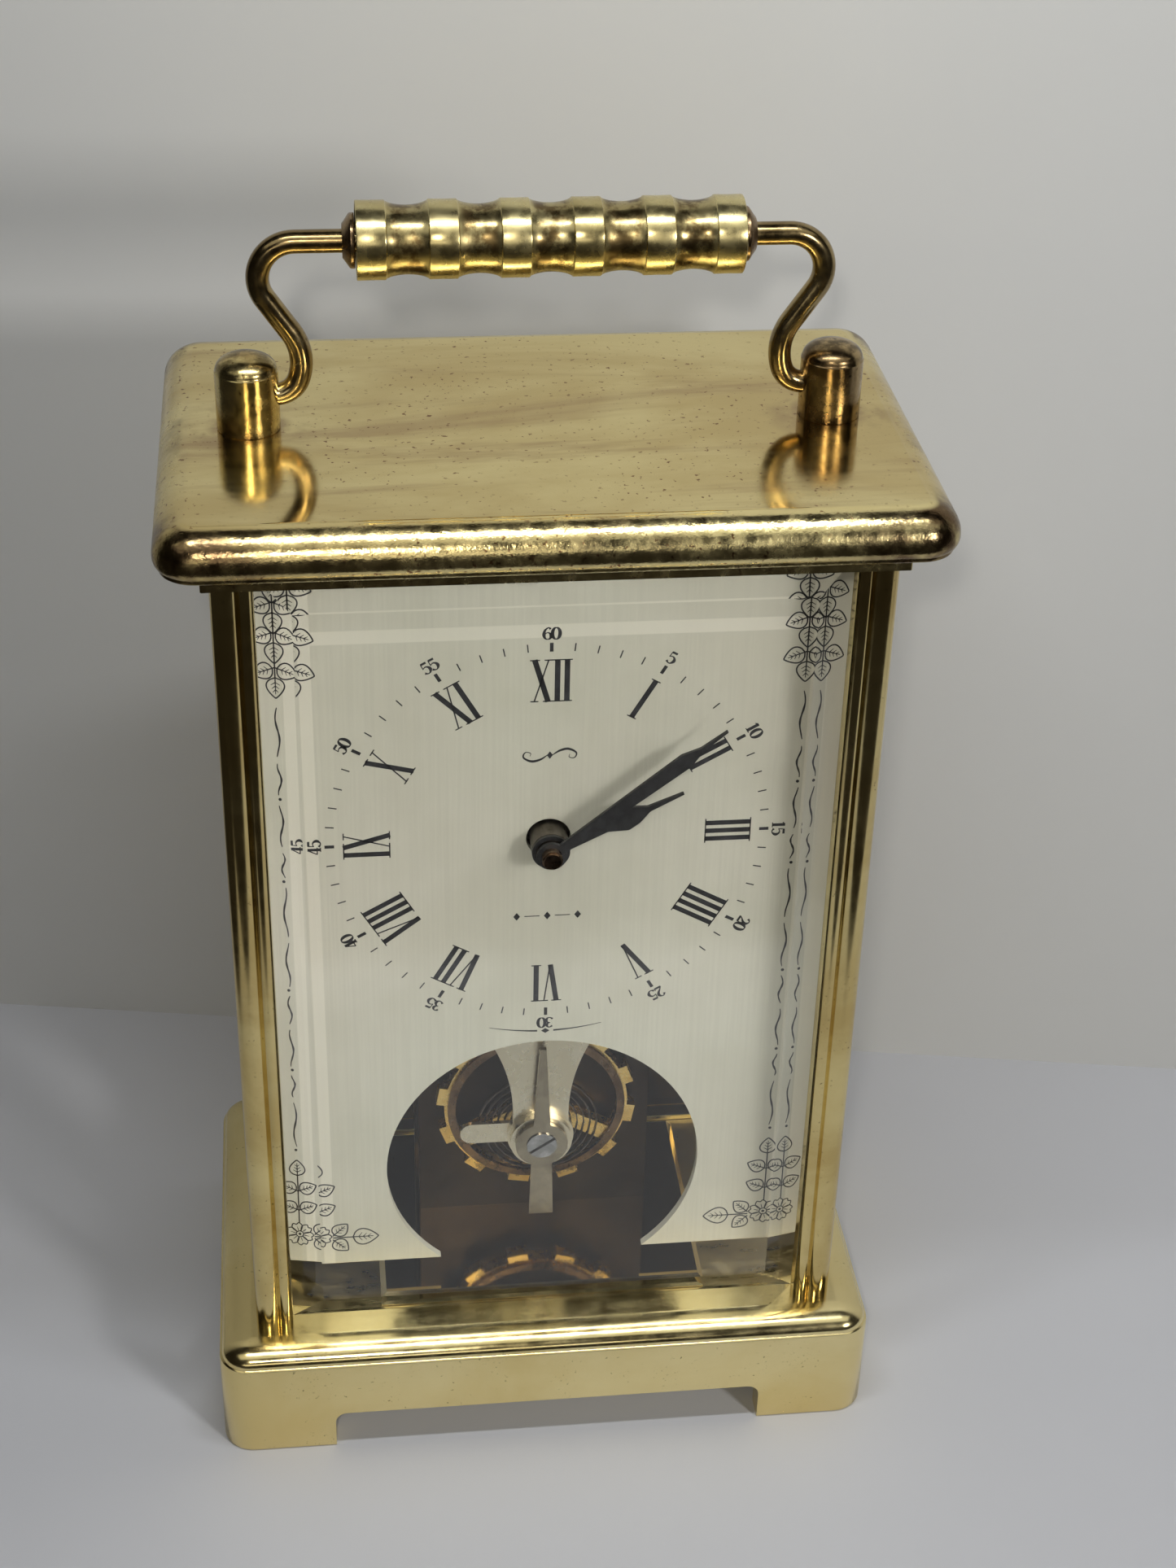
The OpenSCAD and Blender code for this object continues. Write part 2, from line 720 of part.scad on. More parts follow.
module barrel_cover() {
    color("gold") difference() {
        rod(c_barrel, drum_r - 0.9, drum_back - 0.8, drum_back);
        rod(c_barrel, 1.5 + run_gap, 5, drum_back + 1);
        rod(c_barrel + [0, 10], 0.8, 5, drum_back + 1);
    }
}

module mainspring() {
    turns = 8;
    steps = 30;
    r0 = 3.4;
    r1 = drum_r - 1.3;
    t = 0.35;
    n = turns*steps;
    strip_w = drum_back - great_y - 2.6;
    color("slategray") slab(great_y + 1.5, strip_w) translate(c_barrel)
        polygon(concat([for (i = [0:n]) polar(r0 + (r1 - r0)*i/n, 360*i/steps)],
            [for (i = [n:-1:0]) polar(r0 + (r1 - r0)*i/n - t, 360*i/steps)]));
}

module barrel_arbor() {
    color("silver") {
        rod(c_barrel, 1.5, front_plate_y + 0.1, back_plate_back + 0.2);
        rod(c_barrel, 2.6, great_y + 1.4, drum_back - 1);
        slab(back_plate_back + 0.2, 3.9) translate(c_barrel) square(2.2, center = true);
    }
}

module ratchet_wheel() {
    n = 24;
    r = 5.6;
    color("silver") slab(back_plate_back + 0.3, 0.8) difference() {
        translate(c_barrel) polygon([for (i = [0:n - 1]) for (k = [0, 1])
            polar(k == 0 ? r : r - 0.75, 360*(i + k*0.12)/n)]);
        translate(c_barrel) square(2.2, center = true);
    }
}

module winding_key() {
    y0 = back_plate_back + 1.3;
    color("gold") difference() {
        union() {
            rod(c_barrel, 2.3, y0, y0 + 2.7);
            slab(y0 + 0.9, 1.2) difference() {
                union() for (s = [-1, 1]) {
                    dot(c_barrel + [s*5.8, 0], 4);
                    translate(c_barrel + [s*2.5, 0]) square([5, 4], center = true);
                }
                for (s = [-1, 1]) dot(c_barrel + [s*6.2, 0], 1.7);
            }
        }
        slab(y0 - 1, 3.8) translate(c_barrel) square(2.2, center = true);
    }
}

module click() {
    tip = c_barrel + polar(5.75, heading(c_barrel, c_click) + 22);
    color("silver") {
        slab(back_plate_back + 0.3, 0.8) difference() {
            union() {
                dot(c_click, 1.7);
                polygon([c_click + [1.2, 1.2], c_click + [-1.5, -0.6], tip, tip + [0.5, 0.9]]);
            }
            dot(c_click, 0.7);
        }
        rod(c_click, 0.7 - run_gap, back_plate_y + 0.2, back_plate_back + 1.3);
        rod(c_click, 1.2, back_plate_back + 1.1, back_plate_back + 1.5);
    }
}

module click_spring() {
    foot = c_click + click_spring_foot;
    color("dimgray") {
        rod(foot, 0.6, back_plate_y + 0.2, back_plate_back + 0.3);
        slab(back_plate_back + 0.3, 0.8) {
            dot(foot, 1.2);
            translate(foot - [0.2, 0]) square([0.4, 9]);
        }
    }
}

// ---- wheel train ----

// an arbor with reduced pivots in both plates
module arbor(at, r) {
    rod(at, r, front_plate_back + 0.2, back_plate_y - 0.2);
    rod(at, pivot_r, front_plate_y + 0.2, back_plate_back - 0.2);
}

module pinion(at, n, m, phase, y0, t) {
    slab(y0, t) translate(at) gear_outline(n, m, phase, 0.55, 0.2, 0.09);
}

module wheel(at, n, m, phase, hub_r, y0, t) {
    slab(y0, t) translate(at) crossed_wheel(n, m, phase, hub_r);
}

module intermediate_wheel() {
    color("gold") {
        arbor(c_inter, 1);
        pinion(c_inter, inter_pinion_n, great_m, heading(c_inter, c_barrel) + 180/inter_pinion_n, 3.4, 1.7);
        wheel(c_inter, inter_n, inter_m, heading(c_inter, c_centre), 2.4, 10.8, 0.7);
    }
}

module centre_wheel() {
    color("gold") difference() {
        union() {
            rod(c_centre, 1.4, 1.2, 11.8);
            wheel(c_centre, centre_n, inter_m, heading(c_centre, c_third), 2.6, 1.6, 0.8);
            pinion(c_centre, centre_pinion_n, inter_m, heading(c_centre, c_inter) + 180/centre_pinion_n,
                10.5, 1.3);
        }
        rod(c_centre, 0.8 + run_gap, 0, 12.4);
    }
}

module third_wheel() {
    color("gold") {
        arbor(c_third, 0.7);
        pinion(c_third, third_pinion_n, inter_m, heading(c_third, c_centre) + 180/third_pinion_n, 1.4, 1.3);
        wheel(c_third, third_n, third_m, heading(c_third, c_fourth), 1.8, 3.6, 0.6);
    }
}

module fourth_wheel() {
    color("gold") {
        arbor(c_fourth, 0.7);
        pinion(c_fourth, fourth_pinion_n, third_m, heading(c_fourth, c_third) + 180/fourth_pinion_n,
            3.3, 1.2);
        wheel(c_fourth, fourth_n, fourth_m, heading(c_fourth, c_escape), 1.8, 5.4, 0.6);
    }
}

// ---- motion work ----

module centre_arbor() {
    color("silver") {
        rod(c_centre, 0.8, -17.9, back_plate_back + 2.6);
        rod(c_centre, 1.1, front_plate_y + 0.1, front_plate_back - 0.1);
    }
}

module setting_knob() {
    r = 3.3;
    color("gold") difference() {
        slab(back_plate_back + 0.4, 3) translate(c_centre)
            polygon([for (i = [0:47]) polar(i % 2 == 0 ? r : r - 0.25, 7.5*i)]);
        rod(c_centre, 0.8, back_plate_back - 1, back_plate_back + 2.6);
    }
}

module cannon_pinion() {
    color("silver") difference() {
        union() {
            pinion(c_centre, cannon_n, motion_m, 180/cannon_n, -2.5, 1.3);
            rod(c_centre, 1.15, -16.7, -1.2);
        }
        rod(c_centre, 0.8, -17, -1);
    }
}

module minute_wheel() {
    color("gold") difference() {
        union() {
            wheel(c_minute, minute_n, motion_m, 180, 2.2, -2.4, 0.7);
            pinion(c_minute, minute_pinion_n, hour_m, 180 + 180/minute_pinion_n, -4.2, 1.9);
        }
        rod(c_minute, 0.8 + run_gap, -6, 0);
    }
}

module minute_post() {
    color("silver") {
        rod(c_minute, 0.8, -4.7, front_plate_back);
        rod(c_minute, 1.3, -5, -4.5);
    }
}

module hour_wheel() {
    color("gold") difference() {
        union() {
            slab(-4, 0.8) translate(c_centre) gear_outline(hour_n, hour_m, 0);
            rod(c_centre, 2.2, -15.7, -3.3);
            rod(c_centre, 1.75, -16.3, -15.6);
        }
        rod(c_centre, 1.15 + run_gap, -18, 0);
    }
}

// ---- escapement ----

escape_arbor_r = 0.6;
staff_pivot_r = 0.3;
impulse_r = 2.0;
stud_x = 8.2;

module escape_wheel() {
    n = escape_teeth;
    color("gold") {
        rod(c_escape, escape_arbor_r, lever_y - 1, back_plate_y - 0.2);
        rod(c_escape, pivot_r, back_plate_y - 0.3, back_plate_back - 0.2);
        rod(c_escape, 0.35, cock_y + 0.2, lever_y - 0.9);
        pinion(c_escape, escape_pinion_n, fourth_m, heading(c_escape, c_fourth) + 180/escape_pinion_n,
            5.1, 1.2);
        slab(lever_y + 0.1, 0.4) translate(c_escape) difference() {
            polygon([for (i = [0:n - 1]) for (k = [0:3])
                polar([escape_r - 1.1, escape_r - 0.15, escape_r, escape_r - 1.1][k],
                    360*(i + [0, 0.06, 0.16, 0.34][k])/n)]);
            difference() {
                circle(r = escape_r - 1.8);
                circle(r = 1.3);
                for (a = [0, 90]) rotate(a) square([2*escape_r, 0.9], center = true);
            }
        }
    }
}

module pallet_lever() {
    stone_at = escape_r + 0.32;
    fork_end = c_balance.y + impulse_r + 0.35;
    color("silver") {
        slab(lever_y, 0.6) {
            dot(c_pallet, 0.8);
            for (s = [-1, 1]) {
                stone = c_escape + polar(stone_at, 270 + s*30);
                polygon([c_pallet + [0, 0.7], c_pallet + [0, -0.7], stone + [s*0.35, -0.5],
                    stone + [s*0.55, 0.1], stone]);
            }
            polygon([c_pallet + [-0.4, 0], c_pallet + [0.4, 0], [0.4, fork_end + 1.4], [1.1, fork_end + 0.9],
                [1.1, fork_end], [0.45, fork_end], [0.45, fork_end + 0.9], [-0.45, fork_end + 0.9],
                [-0.45, fork_end], [-1.1, fork_end], [-1.1, fork_end + 0.9], [-0.4, fork_end + 1.4]]);
        }
        rod(c_pallet, 0.6, lever_y - 0.8, front_plate_y - 0.2);
        rod(c_pallet, pivot_r, front_plate_y - 0.3, front_plate_back - 0.2);
        rod(c_pallet, 0.35, cock_y + 0.2, lever_y - 0.7);
    }
}

module balance_wheel() {
    lugs = 12;
    color("orange") slab(rim_y, rim_t) translate(c_balance) difference() {
        union() {
            difference() {
                union() {
                    circle(r = 11.8, $fn = 96);
                    for (i = [0:lugs - 1])
                        rotate(20 + i*360/lugs) translate([11.5, -1.35]) square([1.3, 2.7]);
                }
                circle(r = 10.7, $fn = 96);
            }
            intersection() {
                circle(r = 11.2);
                for (a = [90, 210, 330]) rotate(a) translate([0, -1.1]) square([12, 2.2]);
            }
            circle(r = 2.2);
        }
        circle(r = 0.7);
    }
}

module balance_ring() {
    color("saddlebrown") slab(rim_y - 0.5, 0.5) translate(c_balance) difference() {
        circle(r = 11.4, $fn = 96);
        circle(r = 10.4, $fn = 96);
    }
}

module balance_staff() {
    color("silver") {
        rod(c_balance, 0.7, spring_y - 0.9, front_plate_y - 0.3);
        rod(c_balance, staff_pivot_r, staff_front, front_plate_back - 0.2);
        rod(c_balance, impulse_r + 0.4, roller_y - 0.6, roller_y - 0.1);
        rod(c_balance + [0, impulse_r - 0.05], 0.25, roller_y - 0.2, roller_y + 0.7);
    }
}

module hairspring() {
    turns = 8;
    steps = 24;
    r0 = 1.3;
    t = 0.16;
    n = turns*steps;
    r_at = function (i) r0 + (stud_x - 0.3 - r0)*i/n;
    color("steelblue") slab(spring_y, 0.5) translate(c_balance) rotate(180) {
        difference() {
            circle(r = r0 + 0.1);
            circle(r = 0.7 + 0.3);
        }
        polygon(concat([for (i = [0:n]) polar(r_at(i), 360*i/steps)],
            [for (i = [n:-1:0]) polar(r_at(i) - t, 360*i/steps)]));
    }
}

module balance_cock() {
    waist = 3.5;
    sweep = 25;
    color("lightgoldenrodyellow") {
        slab(cock_y, cock_t) difference() {
            union() {
                dot(c_balance, 4.2);
                difference() {
                    translate([-11, c_balance.y]) square([22, 64 - c_balance.y]);
                    for (s = [-1, 1]) dot([s*(waist + sweep), 40], sweep, $fn = 96);
                }
            }
            dot(c_balance, 1.3);
            for (p = [c_escape, c_pallet]) dot(p, 0.35 + run_gap);
        }
        for (p = cock_post_at) {
            rod(p, 1.4, cock_y + cock_t - eps, front_plate_y);
            rod(p, 0.8, front_plate_y - eps, front_plate_back);
            rod(p, 1.4, cock_y - 0.6, cock_y + eps);
        }
        difference() {
            rod(c_balance, 3.9, cock_y - 1.1, cock_y + eps);
            rod(c_balance, 3.1, cock_y - 2, cock_y - 0.3);
            rod(c_balance, 1.3, cock_y - 2, cock_y + 2);
        }
    }
}

module stud_carrier() {
    color("lightgoldenrodyellow") {
        slab(cock_y + cock_t, 0.6) difference() {
            union() {
                dot(c_balance, 3.6);
                translate([-stud_x - 0.4, c_balance.y - 1.5]) square([stud_x, 3]);
                dot(c_balance - [stud_x + 0.4, 0], 1.5);
            }
            dot(c_balance, 1.3);
        }
        rod(c_balance - [stud_x + 0.3, 0], 0.55, cock_y + cock_t + 0.5, spring_y + 0.5);
    }
}

module regulator_index() {
    y0 = cock_y - 1.8;
    color("gray") slab(y0, 0.6) difference() {
        union() {
            dot(c_balance, 3.3);
            translate(c_balance) blade([[1.1, 2.3], [0.4, 15.2]]);
            translate(c_balance) rotate(180) blade([[1.3, 2.3], [1.55, 11.4]]);
        }
        dot(c_balance, 1.9 + run_gap);
    }
}

module pivot_screw() {
    color("lightgray") difference() {
        union() {
            rod(c_balance, 1.3, cock_y - 1.9, cock_y + 0.8);
            rod(c_balance, 1.9, cock_y - 2, cock_y - 0.4);
        }
        rod(c_balance, staff_pivot_r + run_gap, staff_front - 0.1, cock_y + 2);
        slab(cock_y - 3, 1.3) translate(c_balance) rotate(35) square([5, 0.4], center = true);
    }
}

base_plinth();
case_floor();
movement_seat();
cornice();
pillar_front_left();
pillar_front_right();
pillar_rear_left();
pillar_rear_right();
front_glass();
left_glass();
right_glass();
case_screws();
door_panel();
door_hinge_pins();
door_knob();
door_latch();
left_turret();
right_turret();
turret_nuts();
handle_bail();
handle_ferrules();
handle_grip();
dial_plate();
dial_posts();
hour_hand();
minute_hand();
hand_nut();
centre_arbor();
centre_wheel();
setting_knob();
cannon_pinion();
minute_wheel();
minute_post();
hour_wheel();
front_plate();
back_plate();
plate_pillars();
plate_screws();
movement_screws();
barrel_drum();
barrel_cover();
mainspring();
barrel_arbor();
ratchet_wheel();
winding_key();
click();
click_spring();
intermediate_wheel();
third_wheel();
fourth_wheel();
escape_wheel();
pallet_lever();
balance_wheel();
balance_ring();
balance_staff();
hairspring();
balance_cock();
stud_carrier();
regulator_index();
pivot_screw();
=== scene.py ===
"""Looks of the brass mantel clock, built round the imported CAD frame. Shapes are worked out in millimetres."""
import json
import math

import bmesh
import bpy
from mathutils import Matrix, Vector


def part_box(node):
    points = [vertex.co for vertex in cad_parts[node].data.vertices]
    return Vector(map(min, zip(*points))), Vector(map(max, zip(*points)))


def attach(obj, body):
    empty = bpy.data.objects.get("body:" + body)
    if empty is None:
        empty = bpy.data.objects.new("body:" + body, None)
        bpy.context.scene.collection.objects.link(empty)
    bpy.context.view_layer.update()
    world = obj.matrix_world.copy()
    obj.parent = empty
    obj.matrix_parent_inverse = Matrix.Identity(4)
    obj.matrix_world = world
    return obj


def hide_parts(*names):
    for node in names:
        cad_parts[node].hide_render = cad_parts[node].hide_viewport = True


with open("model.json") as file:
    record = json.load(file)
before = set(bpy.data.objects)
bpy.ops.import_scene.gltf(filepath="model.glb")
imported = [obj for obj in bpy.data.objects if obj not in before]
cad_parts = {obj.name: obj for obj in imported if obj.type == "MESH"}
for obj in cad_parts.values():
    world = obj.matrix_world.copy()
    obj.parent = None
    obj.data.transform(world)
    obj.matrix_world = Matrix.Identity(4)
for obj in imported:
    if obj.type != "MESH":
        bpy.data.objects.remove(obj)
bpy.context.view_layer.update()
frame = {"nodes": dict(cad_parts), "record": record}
MM = 0.001


# ---- measures taken from the frame, in millimetres ----

def cad(node):
    lo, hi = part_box(node)
    return lo / MM, hi / MM


def middle(node):
    lo, hi = cad(node)
    return (lo + hi) / 2


cornice_lo, cornice_hi = cad("cornice")
HALF_X, HALF_Y, TOP_Z = cornice_hi
NECK_Z = cornice_lo.z
BASE_TOP = cad("base_plinth")[1].z
post_lo, post_hi = cad("pillar_rear_right")
POST_X0, POST_X1, POST_Y0, POST_Y1 = post_lo.x, post_hi.x, post_lo.y, post_hi.y
TURRET_X = middle("right_turret").x
TURRET_R = cad("right_turret")[1].x - TURRET_X
grip_lo, grip_hi = cad("handle_grip")
GRIP_Z = (grip_lo.z + grip_hi.z) / 2
GRIP_R = (grip_hi.z - grip_lo.z) / 2
dial_lo = cad("dial_plate")[0]
DIAL_Y = dial_lo.y
AXIS_Z = middle("centre_arbor").z
DOOR_Y = middle("door_panel").y


# ---- shader building ----

class Shade:
    """A Principled material with short ways to add procedural nodes. Its coordinates are in metres."""

    def __init__(self, name, **inputs):
        self.material = bpy.data.materials.new(name)
        self.material.use_nodes = True
        self.tree = self.material.node_tree
        self.tree.nodes.clear()
        self.bsdf = self.add("ShaderNodeBsdfPrincipled")
        self.out = self.add("ShaderNodeOutputMaterial")
        self.show(self.bsdf)
        self.place = self.add("ShaderNodeTexCoord").outputs["Object"]
        for key, value in inputs.items():
            self.set(key.replace("_", " "), value)

    def add(self, kind, **props):
        node = self.tree.nodes.new(kind)
        for key, value in props.items():
            setattr(node, key, value)
        return node

    def feed(self, socket, value):
        if isinstance(value, bpy.types.NodeSocket):
            self.tree.links.new(value, socket)
        else:
            socket.default_value = value

    def set(self, key, value):
        self.feed(self.bsdf.inputs[key], value)

    def show(self, shader):
        self.feed(self.out.inputs["Surface"], shader.outputs[0])

    def either(self, chooser, first, second):
        """Shows the first shader, or the second where chooser is 1."""
        join = self.add("ShaderNodeMixShader")
        for socket, value in zip(join.inputs, (chooser, first.outputs[0], second.outputs[0])):
            self.feed(socket, value)
        self.show(join)

    def op(self, operation, a, b=0.0):
        node = self.add("ShaderNodeMath", operation=operation)
        self.feed(node.inputs[0], a)
        self.feed(node.inputs[1], b)
        return node.outputs[0]

    def add_linked(self, kind, value, **props):
        """Adds a node whose first input takes the value."""
        node = self.add(kind, **props)
        self.feed(node.inputs[0], value)
        return node

    def axes(self):
        return self.add_linked("ShaderNodeSeparateXYZ", self.place).outputs

    def stretched(self, factors):
        """The coordinates, each multiplied by its factor."""
        node = self.add_linked("ShaderNodeVectorMath", self.place, operation="MULTIPLY")
        node.inputs[1].default_value = factors
        return node.outputs[0]

    def noise(self, scale, detail=3.0, rough=0.5, stretch=None, warp=0.0):
        where = self.stretched(stretch) if stretch else self.place
        node = self.add("ShaderNodeTexNoise")
        self.feed(node.inputs["Vector"], where)
        for key, value in (("Scale", scale), ("Detail", detail), ("Roughness", rough), ("Distortion", warp)):
            node.inputs[key].default_value = value
        return node.outputs["Fac"]

    def fit(self, value, lo, hi, to_lo=0.0, to_hi=1.0):
        node = self.add("ShaderNodeMapRange", interpolation_type="SMOOTHSTEP")
        for index, entry in enumerate((value, lo, hi, to_lo, to_hi)):
            self.feed(node.inputs[index], entry)
        return node.outputs[0]

    def mix(self, fac, a, b):
        node = self.add("ShaderNodeMix", data_type="RGBA")
        for socket, value in ((node.inputs[0], fac), (node.inputs[6], a), (node.inputs[7], b)):
            self.feed(socket, value)
        return node.outputs[2]

    def away(self, x, y, z):
        """Distance from a point given in millimetres; a None leaves that axis out."""
        keep = [0.0 if v is None else 1.0 for v in (x, y, z)]
        point = [0.0 if v is None else v * MM for v in (x, y, z)]
        gap = self.add_linked("ShaderNodeVectorMath", self.stretched(keep), operation="DISTANCE")
        gap.inputs[1].default_value = point
        return gap.outputs["Value"]

    def bump(self, height, depth, strength=1.0, under=None):
        node = self.add("ShaderNodeBump")
        node.inputs["Strength"].default_value = strength
        node.inputs["Distance"].default_value = depth * MM
        self.feed(node.inputs["Height"], height)
        if under:
            self.feed(node.inputs["Normal"], under)
        self.set("Normal", node.outputs[0])
        return node.outputs[0]


def rgb(r, g, b):
    return (r, g, b, 1.0)


def toned(colour, by):
    """The colour made darker or paler by a factor."""
    return rgb(*(by * c for c in colour))


def metal(name, pale, deep, rough, cloud=45, specks=0.0, marks_h=0.004, along=(1, 1, 1), pits=0.0):
    """A metal with cloudy tone, uneven polish, fine marks along one way, optional specks and pits."""
    s = Shade(name, Metallic=1.0)
    tone = s.fit(s.noise(cloud, 5, 0.62, warp=0.4), 0.36, 0.66)
    colour = s.mix(tone, rgb(*deep), rgb(*pale))
    if specks:
        more = 0.05 * specks
        spot = s.fit(s.noise(2600, 2, 0.5), 0.69 - more, 0.75 - more)
        where = s.fit(s.noise(180, 3, 0.6), 0.45, 0.6)
        colour = s.mix(s.op("MULTIPLY", spot, where), colour, toned(deep, 0.35))
    s.set("Base Color", colour)
    wear = s.noise(420, 4, 0.6)
    marks = s.noise(1500, 3, 0.6, stretch=along)
    uneven = s.op("ADD", s.op("MULTIPLY", wear, 0.6), s.op("MULTIPLY", marks, 0.4))
    s.set("Roughness", s.fit(uneven, 0.3, 0.7, rough * 0.72, rough * 1.45))
    under = s.bump(marks, marks_h, 0.5)
    if pits:
        s.bump(s.noise(1500, 3, 0.55), pits, 0.8, under)
    return s


# ---- mesh building ----

def arc(cx, cz, r, a0, a1, n=8, rz=None):
    """Points of an arc from angle a0 to a1, in degrees; rz makes it an ellipse."""
    steps = [math.radians(a0 + (a1 - a0) * i / n) for i in range(n + 1)]
    return [(cx + r * math.cos(a), cz + (rz or r) * math.sin(a)) for a in steps]


MERGE_GAP = 1e-7
AXIS_R = 1e-4
CORNER_R, LEAST_R, CORNER_STEPS = 4.5, 0.25, 10
WIRE_SIDES = 28


def solid(name, verts, faces, shade, sharp=28):
    """A mesh object from millimetre points, with its normals turned outwards and its edges split by angle."""
    mesh = bpy.data.meshes.new(name)
    mesh.from_pydata([Vector(v) * MM for v in verts], [], faces)
    bm = bmesh.new()
    bm.from_mesh(mesh)
    bmesh.ops.remove_doubles(bm, verts=bm.verts, dist=MERGE_GAP)
    bmesh.ops.recalc_face_normals(bm, faces=bm.faces)
    bm.to_mesh(mesh)
    bm.free()
    mesh.materials.append(shade.material)
    mesh.shade_smooth()
    mesh.set_sharp_from_angle(angle=math.radians(sharp))
    piece = bpy.data.objects.new(name, mesh)
    bpy.context.scene.collection.objects.link(piece)
    return piece


def place(piece, body, slot, *nodes):
    """Rides the piece on its body, and hides the frame parts that it stands for."""
    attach(piece, body)
    if nodes:
        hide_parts(*nodes)
    return piece


def skin(rings):
    """Faces between closed rings of equal length, with the two ends capped."""
    n = len(rings[0])
    verts = [p for ring in rings for p in ring]
    faces = [tuple(range(n - 1, -1, -1)), tuple(range(len(verts) - n, len(verts)))]
    for k in range(len(rings) - 1):
        for i in range(n):
            j = (i + 1) % n
            faces.append((k * n + i, k * n + j, (k + 1) * n + j, (k + 1) * n + i))
    return verts, faces


def moulded(outline):
    """Rings round the case for an outline of (distance in from the widest edge, height)."""
    rings = []
    for inset, z in outline:
        hx, hy = HALF_X - inset, HALF_Y - inset
        r = max(CORNER_R - inset, LEAST_R)
        ring = []
        for quarter, (sx, sy) in enumerate(((1, 1), (-1, 1), (-1, -1), (1, -1))):
            a0 = 90 * quarter
            corner = arc(sx * (hx - r), sy * (hy - r), r, a0, a0 + 90, CORNER_STEPS)
            ring += [(x, y, z) for x, y in corner]
        rings.append(ring)
    return skin(rings)


def lathe(outline, centre, axis, n=96):
    """A turned solid with capped ends, from an outline of (radius, distance along the axis)."""
    rings = []
    for r, h in outline:
        ring = []
        reach = max(r, AXIS_R)
        for i in range(n):
            a = 2 * math.pi * i / n
            u, v = reach * math.cos(a), reach * math.sin(a)
            p = {"X": (h, u, v), "Y": (v, h, u), "Z": (u, v, h)}[axis]
            ring.append([c + d for c, d in zip(centre, p)])
        rings.append(ring)
    return skin(rings)


def tube(path, radius):
    """A round wire along a path in the X-Z plane."""
    rings = []
    for k, (x, z) in enumerate(path):
        x0, z0 = path[max(k - 1, 0)]
        x1, z1 = path[min(k + 1, len(path) - 1)]
        span = math.hypot(x1 - x0, z1 - z0)
        nx, nz = -(z1 - z0) / span, (x1 - x0) / span
        ring = []
        for i in range(WIRE_SIDES):
            a = 2 * math.pi * i / WIRE_SIDES
            side = radius * math.cos(a)
            ring.append((x + nx * side, radius * math.sin(a), z + nz * side))
        rings.append(ring)
    return skin(rings)


def prism(outline, z0, z1):
    return skin([[(x, y, z0) for x, y in outline], [(x, y, z1) for x, y in outline]])


def carve(piece, cutters, sharp=28):
    """Cuts the other meshes out of the piece and removes them."""
    for cutter in cutters:
        step = piece.modifiers.new("cut", "BOOLEAN")
        step.operation, step.solver, step.object = "DIFFERENCE", "EXACT", cutter
    graph = bpy.context.evaluated_depsgraph_get()
    result = bpy.data.meshes.new_from_object(piece.evaluated_get(graph))
    piece.modifiers.clear()
    piece.data = result
    for cutter in cutters:
        bpy.data.objects.remove(cutter)
    result.set_sharp_from_angle(angle=math.radians(sharp))


# ---- materials ----

CASE_PALE, CASE_DEEP = (0.94, 0.80, 0.42), (0.84, 0.68, 0.31)
case_shade = metal("case_brass", CASE_PALE, CASE_DEEP, 0.16, cloud=30, specks=0.2, along=(0.15, 1, 1))
post_shade = metal("post_brass", (0.80, 0.66, 0.31), (0.62, 0.47, 0.19), 0.13, cloud=60, specks=0.6,
                   along=(1, 1, 0.05))


